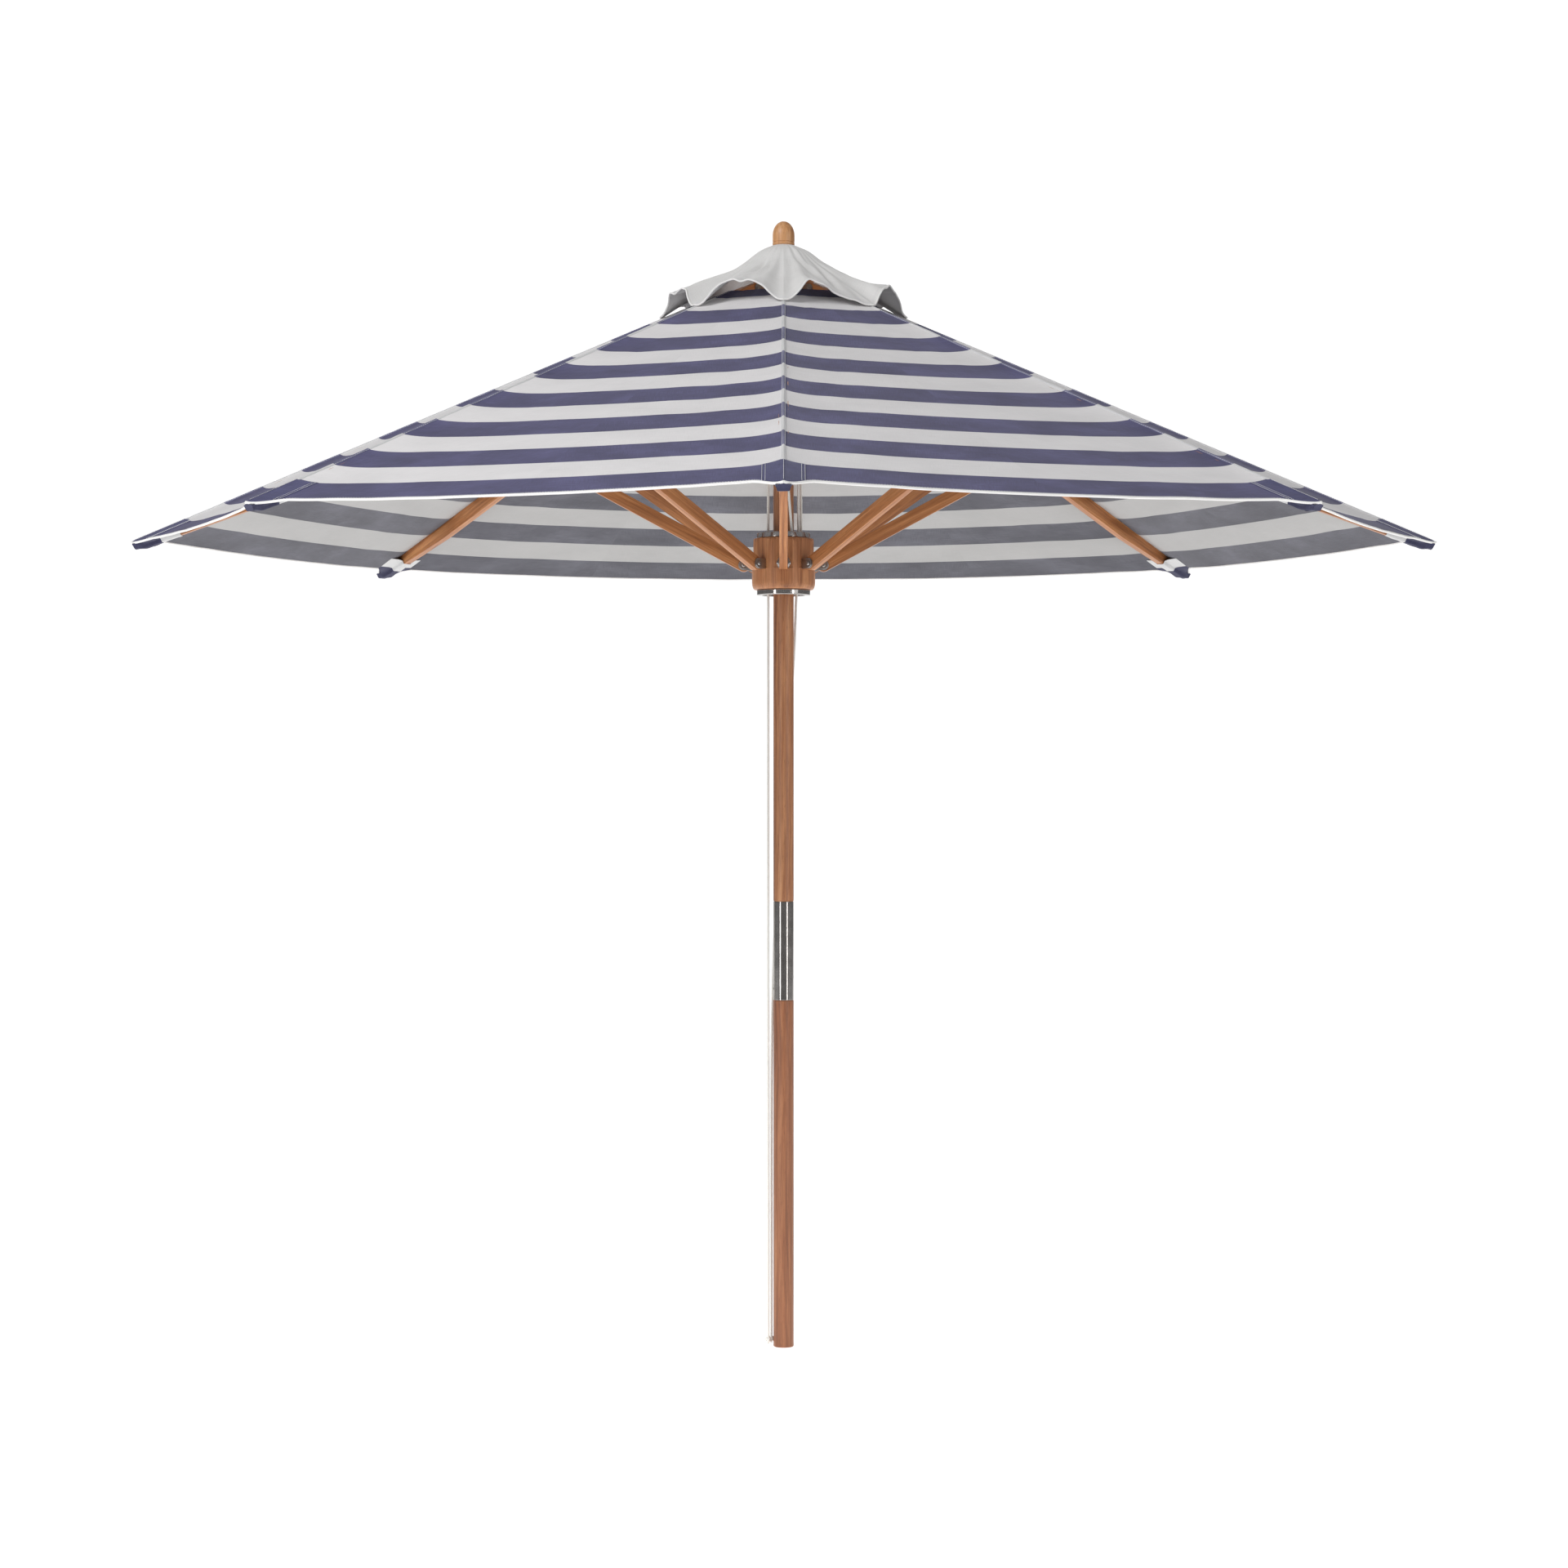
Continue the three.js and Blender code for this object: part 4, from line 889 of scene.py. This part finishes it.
def build_links():
    """Each rib and strut with its bolts, and the bracket under each rib."""
    tip, tip_foot = RIB_LENGTH, RIB_TOP - RIB_TIP_DEPTH
    rib = [*arc((0, (RIB_TOP + RIB_FOOT) / 2), RIB_DEPTH / 2, 90, 270, 14), (tip - RIB_TAPER, RIB_FOOT),
           (tip - RIB_TIP_DEPTH / 2, tip_foot), (tip, RIB_TOP - RIB_TIP_DEPTH * 0.6),
           (tip, RIB_TOP - RIB_TIP_DEPTH * 0.2), (tip - RIB_TIP_DEPTH / 4, RIB_TOP)]
    lean = math.degrees(math.atan2(STRUT_RISE, LINK_LENGTH))
    strut = [*arc((0, 0), STRUT_DEPTH / 2, 90 + lean, 270 + lean, 14),
             *arc((LINK_LENGTH, STRUT_RISE), STRUT_DEPTH / 2, -90 + lean, 90 + lean, 14)]
    start, end, face = LINK_X - BRACKET_HALF, LINK_X + BRACKET_HALF, RIB_FOOT - 0.0001
    ear = [(start, RIB_FOOT - 0.0002), (start, RIB_FOOT - 0.004), (LINK_X - EAR_END, LINK_Z + 0.004),
           *arc((LINK_X, LINK_Z), EAR_END, 190, 350, 12), (LINK_X + EAR_END, LINK_Z + 0.004),
           (end, RIB_FOOT - 0.004), (end, RIB_FOOT - 0.0002)]
    base = [(start, RIB_FOOT - EAR), (end, RIB_FOOT - EAR), (end, face), (start, face)]

    def beam(outline, width):
        return lambda name, matrix: join(name, [slab(outline, width, 0, 0.0016)], FRAME_WOOD, matrix)

    on_each_spoke("rib_wood", beam(rib, RIB_WIDTH), rib_place, "rib_{}", lambda i: [f"rib_{i}"])
    on_each_spoke("strut_wood", beam(strut, STRUT_WIDTH), strut_place, "strut_{}",
                  lambda i: [f"strut_{i}"])
    on_each_spoke("rib_bracket", lambda name, matrix: bracket(name, ear, base, STRUT_WIDTH, matrix), rib_place,
                  "rib_{}")
    for name, width, place, body in (
            ("rib_bolt", RIB_WIDTH, lambda i: rib_place(i) @ Z_ALONG_Y, "rib_{}"),
            ("runner_bolt", STRUT_WIDTH, lambda i: strut_place(i) @ Z_ALONG_Y, "strut_{}"),
            ("link_bolt", STRUT_WIDTH, lambda i: strut_place(i, LINK_LENGTH) @ Z_ALONG_Y, "strut_{}")):
        on_each_spoke(name, lambda made, matrix: bolt(made, width, matrix), place, body)


# ---------- canopy ----------


class HalfPanel:
    """The cloth between one rib's ridge and the panel's centreline.

    x runs down the slope from the apex along the centreline, q square to the ridge into the panel, and lift off
    the cloth's top face.
    """

    def __init__(self, rib, side):
        self.rib, self.side = rib, side
        self.tag = f"{rib}{'a' if side > 0 else 'b'}"
        self.body = f"panel_{self.tag}"
        middle = spoke(rib + side / 2).to_3x3()
        self.down = middle @ Vector((math.cos(PANEL_SLOPE), 0, -math.sin(PANEL_SLOPE)))
        self.up = middle @ Vector((math.sin(PANEL_SLOPE), 0, math.cos(PANEL_SLOPE)))
        self.to_ridge = middle @ Vector((0, -side, 0))
        self.ridge = spoke(rib).to_3x3() @ Vector((math.cos(RIDGE_SLOPE), 0, -math.sin(RIDGE_SLOPE)))

    def width(self, x):
        """How far the centreline lies from the ridge, square to the ridge."""
        return x * math.sin(FAN)

    def rim(self, share):
        """Where the cloth ends along a line from the apex: share is 0 on the ridge and 1 on the centreline."""
        q = self.width(PANEL_SLANT) * share
        return PANEL_SLANT - RIM_INSET + RIM_INSET * smoothstep(1 - q / CORNER_FLARE)

    def sag(self, x, q):
        """How far the cloth hangs: a hollow toward the rim's middle, and a step down beside the taut ridge."""
        v = 1 - min(1.0, q / self.width(x))
        hollow = 0.0095 * (x / PANEL_SLANT) ** 1.3 * (1 - v * v)
        tent = 0.0085 * (1 - math.exp(-q / 0.028)) * smoothstep((x - 0.15) / 0.5)
        return hollow + tent

    def wrinkle(self, x, q):
        """Small puckers beside the ridge seam, and long soft folds that die out at the centreline."""
        share = min(1.0, q / self.width(x))
        free = (1 - share) ** 2 * share * 4
        seed = self.rib * 3.7 + (0 if self.side > 0 else 1.9)
        seam = math.exp(-q / 0.020) * (1 - math.exp(-q / 0.005))
        pucker = noise.noise(Vector((x * 46, q * 30, seed))) * seam * 0.0016
        fold = noise.noise(Vector((x * 3.2, share * 5.0, seed + 40))) * free * 0.0030
        ripple = noise.noise(Vector((x * 14, share * 9.0, seed + 80))) * free * 0.0007
        return pucker + fold + ripple

    def at(self, x, q, lift=0.0):
        y = (x * math.sin(FAN) - q) / math.cos(FAN)
        height = lift - self.sag(x, q) + self.wrinkle(x, q)
        return APEX + self.down * x + self.to_ridge * y + self.up * height

    def ride(self, obj):
        """Bakes a piece's placing into its mesh, through bend_on."""
        start, end = APEX - self.ridge * 0.4, APEX + self.ridge * 0.7
        return bend_on(obj, self.body, start, end)


def shell(name, top, bottom, cloth, top_material, under_material, sharp=50):
    """A thin closed sheet from two grids of points. cloth gives each point's place on the cloth map."""
    rows, columns = len(top), len(top[0])
    verts = [p for row in top for p in row] + [p for row in bottom for p in row]
    spots = [c for row in cloth for c in row] * 2
    half = rows * columns

    def index(r, c, under):
        return r * columns + c + (half if under else 0)

    faces, kinds = [], []
    for r in range(rows - 1):
        for c in range(columns - 1):
            faces.append([index(r, c, 0), index(r, c + 1, 0), index(r + 1, c + 1, 0), index(r + 1, c, 0)])
            faces.append([index(r, c, 1), index(r + 1, c, 1), index(r + 1, c + 1, 1), index(r, c + 1, 1)])
            kinds += [0, 1]
    border = [(0, c) for c in range(columns)] + [(r, columns - 1) for r in range(1, rows)]
    border += [(rows - 1, c) for c in range(columns - 2, -1, -1)] + [(r, 0) for r in range(rows - 2, 0, -1)]
    for (r1, c1), (r2, c2) in zip(border, border[1:] + border[:1]):
        faces.append([index(r1, c1, 0), index(r1, c1, 1), index(r2, c2, 1), index(r2, c2, 0)])
        kinds.append(0)
    mesh = bpy.data.meshes.new(name)
    mesh.from_pydata([tuple(v) for v in verts], [], faces)
    mesh.materials.append(top_material)
    mesh.materials.append(under_material)
    mesh.polygons.foreach_set("material_index", kinds)
    layer = mesh.uv_layers.new(name="cloth")
    for loop in mesh.loops:
        layer.data[loop.index].uv = spots[loop.vertex_index]
    outward(mesh)
    return placed(name, mesh, None, sharp)


def grids(rows, columns, spot):
    """The top, bottom and cloth-map grids of a sheet. spot(r, c) gives all three at a row and a column."""
    table = [[spot(r, c) for c in range(columns + 1)] for r in range(rows + 1)]
    return [[[entry[k] for entry in row] for row in table] for k in range(3)]


ROWS, COLUMNS = ((132, 26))
PATCH_TOP = PANEL_SLANT - FIRST_STRIPE_END
PATCH_WIDTH = 0.044
PATCH_POINT = 0.006  # how much higher the patch starts on the ridge

# kinds of stitch: their pitch, length and thread radius
PATCH_STITCH = (0.0042, 0.0034, 0.00062)
RIM_STITCH = (0.0060, 0.0046, 0.0004)
RIDGE_STITCH = (0.0060, 0.0047, 0.00050)
CAP_STITCH = (0.0050, 0.0040, 0.0004)


def bend_on(obj, b, start, end):
    """Bakes a piece of cloth's placing into its mesh."""
    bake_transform(obj)
    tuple(start)
    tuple(end)
    return obj


def panel_cloth(half):
    """One half panel's cloth, finest beside its ridge."""
    offset = half.rib * 0.37 + (0 if half.side > 0 else 5)

    def spot(r, c):
        share = (c / COLUMNS) ** 2.0
        x = VENT + (half.rim(share) - VENT) * r / ROWS
        q = half.width(x) * share
        return half.at(x, q), half.at(x, q, -CLOTH), (q + offset, PANEL_SLANT - x)

    # The underside faces take the canvas in painted shade.
    return shell(f"canopy_{half.tag}", *grids(ROWS, COLUMNS, spot), CANVAS_TOP, CANVAS_UNDER_SHADED)


def rim_points(half, beyond, lift):
    """Points along the rim from the ridge to the centreline."""
    points = []
    for share in ((c / 40) ** 1.7 for c in range(41)):
        x = half.rim(share) + beyond
        points.append(half.at(x, half.width(x) * share, lift))
    return points


def rim_at(half, q):
    """Where the cloth ends at a distance from the ridge."""
    return half.rim(q / half.width(PANEL_SLANT))


def corner_patch(half):
    """The second layer of navy cloth over a corner."""
    columns, rows = 12, 22

    def spot(r, c):
        q = PATCH_WIDTH * c / columns
        start, end = PATCH_TOP - PATCH_POINT * (1 - c / columns), rim_at(half, q) - 0.0005
        x = start + (end - start) * r / rows
        edge = min(1, columns - c, r, rows - r)
        puff = 0.0009 * math.sin(math.pi * c / columns) * math.sin(math.pi * r / rows)
        return half.at(x, q, 0.0004 + 0.0009 * edge + puff), half.at(x, q, 0.0001), (q, PANEL_SLANT - x)

    return shell(f"corner_patch_{half.tag}", *grids(rows, columns, spot), NAVY, NAVY)


class Pocket:
    """Half of the pocket under a corner, which the rib's tip stands in. a runs from the corner up the ridge."""

    WALL = 0.0135

    def __init__(self, half):
        self.half = half
        self.across = Vector((0, 0, 1)).cross(half.ridge).normalized() * half.side
        self.up = half.ridge.cross(Vector((0, 0, 1)).cross(half.ridge)).normalized()
        self.corner = APEX + half.ridge * (PANEL_SLANT / math.cos(FAN))

    def under(self, a, lateral):
        """How far the cloth's underside lies below the ridge line, as a negative height."""
        x = (PANEL_SLANT / math.cos(FAN) - a) * math.cos(FAN) + lateral * math.sin(FAN)
        return (self.half.at(x, lateral, -CLOTH - 0.0008) - self.corner).dot(self.up)

    def section(self, a):
        """Points out from the middle of the underside, up the wall beside the rib and out to the cloth."""
        deep = 0.0200 + 0.0085 * smoothstep(a / 0.030) + max(0.0, a - 0.036) * 0.05
        deep += 0.0012 * noise.noise(Vector((a * 60, self.half.rib * 2.1, self.half.side)))
        wing = max(0.0150, min(0.050, a - 0.0015))
        points = [(0.0, -deep), (0.0060, -deep), (0.0105, -deep + 0.0003), (0.0122, -deep + 0.0018),
                  (0.0130, -deep + 0.006), (self.WALL, -deep * 0.72)]
        foot = self.under(a, wing)
        for t in (0.25, 0.5, 0.75, 1.0):
            lateral = self.WALL + (wing - self.WALL) * t
            slack = (1 - t) ** 1.2
            hang = -deep * 0.66 * slack + foot * (1 - slack)
            points.append((lateral, min(hang, self.under(a, lateral))))
        return points

    def place(self, a, y, z):
        return self.corner - self.half.ridge * a + self.across * y + self.up * z

    def piece(self, name, start, end, count, thick, lift, material, closed):
        """A stretch of the pocket. closed brings its front up to the cloth."""
        outer, inner, cloth = [], [], []
        for a in (start + (end - start) * k / count for k in range(count + 1)):
            points = self.section(a)
            outer.append([self.place(a, y, z + lift) for y, z in points])
            inner.append([self.place(a, max(0.0, y - thick), z + thick + lift) for y, z in points])
            cloth.append([(y, a) for y, _ in points])
        if closed:
            front = [self.place(0, y * 0.98, min(-0.0025, self.under(start, min(y, 0.012)) - 0.0002))
                     for y, _ in self.section(start)]
            outer.insert(0, front)
            inner.insert(0, [p - self.half.ridge * 0.0012 for p in front])
            cloth.insert(0, [(y, a - 0.02) for y, a in cloth[0]])
        obj = shell(f"pocket_{name}_{self.half.tag}", outer, inner, cloth, material, material, 60)
        return bend_on(obj, self.half.body, self.corner + self.across * 0.012,
                       self.corner + self.across * 0.032)


def sew_on(half):
    """What is sewn to a half panel below its seams: piping, patch, stitches and pocket."""
    def down_patch(q):
        reach = rim_at(half, q) - 0.002 - PATCH_TOP
        return [half.at(PATCH_TOP + reach * k / 20, q, 0.0019) for k in range(21)]

    patch_edge = [half.at(PATCH_TOP - PATCH_POINT * (1 - k / 12) + 0.0022, PATCH_WIDTH * k / 12, 0.0016)
                  for k in range(13)]
    sewn = [tube(f"rim_piping_{half.tag}", rim_points(half, 0.0012, -0.0005), 0.0027, PIPING, 10),
            corner_patch(half),
            dashes(f"patch_stitch_1_{half.tag}", down_patch(PATCH_WIDTH - 0.0020), *PATCH_STITCH),
            dashes(f"patch_stitch_2_{half.tag}", down_patch(PATCH_WIDTH - 0.0085), *PATCH_STITCH),
            dashes(f"patch_top_stitch_{half.tag}", patch_edge, *PATCH_STITCH),
            dashes(f"rim_stitch_{half.tag}", rim_points(half, -0.0065, 0.0004), *RIM_STITCH)]
    for obj in sewn:
        set_on(obj, half.body)
    pocket = Pocket(half)
    # The pocket's navy part takes its navy in painted shade.
    return sewn + [pocket.piece("navy", 0.0015, 0.066, 16, 0.0011, 0, POCKET_NAVY_SHADED, True),
                   # The pale flap takes the white cloth in painted shade.
                   pocket.piece("pale", 0.064, 0.112, 12, 0.0009, 0.0006, PALE, False)]


def build_canopy():
    for i in range(1, RIBS + 1):
        halves = [HalfPanel(i, 1), HalfPanel(i, -1)]
        for half in halves:
            cloth = half.ride(panel_cloth(half))
            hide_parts(half.body)
            line = [half.at(VENT, half.width(VENT) * k / 12, -0.0005) for k in range(13)]
            hem = half.ride(tube(f"vent_hem_{half.tag}", line, 0.0014, NAVY_TRIM, 8))
            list(sew_on(half))
        ridge_seam(i, halves)


def ridge_seam(i, halves):
    """The flat-felled seam down a ridge, with a row of stitches along each edge and down the corner."""
    start, count = VENT + 0.004, 150
    side = [(0.0015, 0.0015), (0.0043, 0.0009), (0.0046, 0.0001)]
    profile = [(-y, lift) for y, lift in reversed(side)] + [(0.0, 0.0017)] + side

    def spot(k, column):
        y, lift = profile[column]
        half = halves[0] if y >= 0 else halves[1]
        x = start + (PATCH_TOP + 0.002 - start) * k / count
        wave = 0.0004 * noise.noise(Vector((x * 60, y * 90, i * 2.3))) if abs(y) < 0.004 else 0
        return half.at(x, abs(y), lift + wave), half.at(x, abs(y), -0.0001), (y + i, PANEL_SLANT - x)

    sewn = [shell(f"ridge_seam_{i}", *grids(count, len(profile) - 1, spot), SEAM_CLOTH, SEAM_CLOTH, 60)]
    for half in halves:
        line = [half.at(start + (PATCH_TOP - start) * k / count, 0.0033, 0.0014) for k in range(count + 1)]
        sewn.append(dashes(f"ridge_stitch_{half.tag}", line, *RIDGE_STITCH))
    end = rim_at(halves[0], 0) - 0.006
    line = [halves[0].at(PATCH_TOP + (end - PATCH_TOP) * k / 20, 0.0, 0.0021) for k in range(21)]
    sewn.append(dashes(f"corner_stitch_{i}", line, *PATCH_STITCH))
    for obj in sewn:
        set_on(obj, f"rib_{i}")


# ---------- vent cap ----------

CAP_RADIUS = 0.285
CAP_SEAT_RADIUS = 0.0150
CAP_COLLAR = 0.0254  # where the cap leaves the finial's foot
CAP_TOP = POLE_TOP + GAP + 0.001
CAP_HEM_Z = APEX.z - CAP_RADIUS * math.tan(RIDGE_SLOPE) + 0.0055
CAP_ROWS, CAP_COLUMNS = ((30, 20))
CAP_ARCH_HEIGHT, CAP_CORNER_REST = 0.050, 0.006
# For each panel of the cap, how far along the hem it takes to rise from one corner and to fall to the next.
# The first pair is the panel between ribs 8 and 1, and the second the one between ribs 1 and 2.
CAP_ARCHES = [(0.062, 0.052), (0.062, 0.150), (0.055, 0.090), (0.110, 0.060),
              (0.070, 0.120), (0.130, 0.060), (0.060, 0.080), (0.090, 0.055)]


def bell(x, middle, width):
    return math.exp(-((x - middle) / width) ** 2)


def cap_arch(panel, t):
    """How far the hem stands up, from 0 to 1, at a share t of the way from one corner to the next."""
    span = 2 * CAP_RADIUS * math.sin(PITCH / 2)
    rise, fall = CAP_ARCHES[panel]
    first = smoothstep((t * span - CAP_CORNER_REST) / rise)
    last = smoothstep(((1 - t) * span - CAP_CORNER_REST) / fall)
    return first * last * (1 - 0.12 * t)


def cap_folds(seed, t, down):
    """The soft folds of one panel of the cap, which die out at the pole and at the corners of the hem."""
    crease = noise.noise(Vector((down * 2.6 + t * 2.2, t * 5.2 + seed, 3.3))) * 0.0135
    fold = 0.0065 * bell(t, 0.36 + 0.22 * down + 0.10 * math.sin(seed), 0.085) * (1.15 - down)
    fine = noise.noise(Vector((down * 9.0, t * 14.0 + seed, 8.8))) * 0.0016
    return (crease - fold + fine) * math.sin(math.pi * t) ** 0.7 * smoothstep(down * 1.7)


def cap_point(i, down, off, lift=0.0):
    """A point of the cap: down is its share of the way to the hem, and off its angle from rib i."""
    share = abs(off) / (PITCH / 2)
    panel, t = (i % RIBS, share / 2) if off >= 0 else (i - 1, 1 - share / 2)
    reach = CAP_SEAT_RADIUS + (CAP_RADIUS - CAP_SEAT_RADIUS) * down
    octagon = math.cos(PITCH / 2) / math.cos(PITCH / 2 - abs(off))
    arch, seed = cap_arch(panel, t), panel * 2.9
    straight = CAP_TOP + (CAP_HEM_Z - CAP_TOP) * (reach - CAP_COLLAR) / (CAP_RADIUS - CAP_COLLAR)
    z = min(CAP_TOP, straight) + 0.0065 * bell(reach, 0.060, 0.030)
    z += CAP_ARCH_HEIGHT * arch * down ** 2.3 + cap_folds(seed, t, down)
    radius = reach * (1 + (octagon - 1) * smoothstep(down * 2.2))
    radius += 0.010 * (noise.noise(Vector((t * 6.0, seed, 17.0))) + 0.35) * arch * down ** 3
    angle = azimuth(i) + off
    return Vector((radius * math.cos(angle), radius * math.sin(angle), z + lift))


def cap_sector(i, side):
    """Half of a panel of the cap."""
    tag = f"{i}{'a' if side > 0 else 'b'}"

    def spot(r, c):
        share, off = r / CAP_ROWS, side * PITCH / 2 * c / CAP_COLUMNS
        return cap_point(i, share, off), cap_point(i, share, off, -0.0009), (off * 0.3 * share, share * 0.3)

    offs = [side * PITCH / 2 * c / 24 for c in range(25)]
    hem = [cap_point(i, 1.0, off, -0.0005) for off in offs]
    line = [cap_point(i, 0.965, off, 0.0003) for off in offs]
    # The cap's underside takes PALE, its white in painted shade.
    sewn = [shell(f"vent_cap_{tag}", *grids(CAP_ROWS, CAP_COLUMNS, spot), PALE_TOP, PALE, 50),
            tube(f"cap_piping_{tag}", hem, 0.0021, PIPING, 8), dashes(f"cap_stitch_{tag}", line, *CAP_STITCH)]
    turn = spoke(i).to_3x3()
    for obj in sewn:
        bend_on(obj, f"rib_{i}", turn @ Vector((0.030, 0, 0)), turn @ Vector((0.162, -side * 0.128, 0)))
    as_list(sewn[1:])
    return sewn[0]


def build_cap():
    sectors = [cap_sector(i, side) for i in range(1, RIBS + 1) for side in (1, -1)]
    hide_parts("vent_cap")


# ---------- room and light ----------


def build_room():
    """A pale floor that sweeps up into a wall far behind, lit softly."""
    width, front, back, bend, high = 20, -9, 16, 8, 30
    profile = [(front, 0), *arc((back, bend), bend, -90, 0, 16), (back + bend, high)]
    verts = [(x, y, z) for y, z in profile for x in (-width / 2, width / 2)]
    faces = [[2 * k, 2 * k + 1, 2 * k + 3, 2 * k + 2] for k in range(len(profile) - 1)]
    shading = Shading("studio_floor", Roughness=0.9)
    y = shading.node("SeparateXYZ", {0: shading.node("TexCoord").outputs["Object"]}).outputs["Y"]
    # The floor and wall glow from y = -2.5 m back, and the floor fades to dark grey without glow by y = -5.5 m:
    # painted light behind, painted shade in front.
    lit = shading.range(y, 0.0, 1.0, -5.5, -2.5)
    shading.colour(shading.mix(lit, linear((120, 120, 122)), linear((246, 246, 246))))
    shading.put(shading.mix(lit, (0, 0, 0, 1), (0.72, 0.72, 0.72, 1)), shading.shader.inputs["Emission Color"])
    shading.shader.inputs["Emission Strength"].default_value = 1.0
    piece("studio_floor", verts, faces, shading.material, 60)

    world = bpy.data.worlds.new("studio")
    scene.world = world
    world.use_nodes = True
    background = world.node_tree.nodes["Background"]
    background.inputs["Color"].default_value = (1, 1, 1, 1)
    background.inputs["Strength"].default_value = 0.20

    def softbox(name, place, target, size, power):
        light = bpy.data.objects.new(name, bpy.data.lights.new(name, "AREA"))
        scene.collection.objects.link(light)
        light.data.shape = "RECTANGLE"
        light.data.size, light.data.size_y = size
        light.data.energy = power
        light.location = place
        light.rotation_euler = (Vector(target) - Vector(place)).to_track_quat("-Z", "Y").to_euler()

    softbox("key", (-4.2, -4.6, 6.0), (0, 0, 2.0), (3.0, 3.0), 300)
    softbox("fill", (5.0, -4.0, 3.5), (0, 0, 1.8), (3.0, 3.0), 60)
    softbox("strip_left", (-3.6, -4.6, 1.6), (0, 0, 1.4), (0.62, 3.6), 48)
    softbox("strip_right", (3.9, -4.4, 1.6), (0, 0, 1.4), (0.58, 3.6), 40)


build_cords()
build_poles()
build_hubs()
build_links()
build_canopy()
build_cap()
build_room()
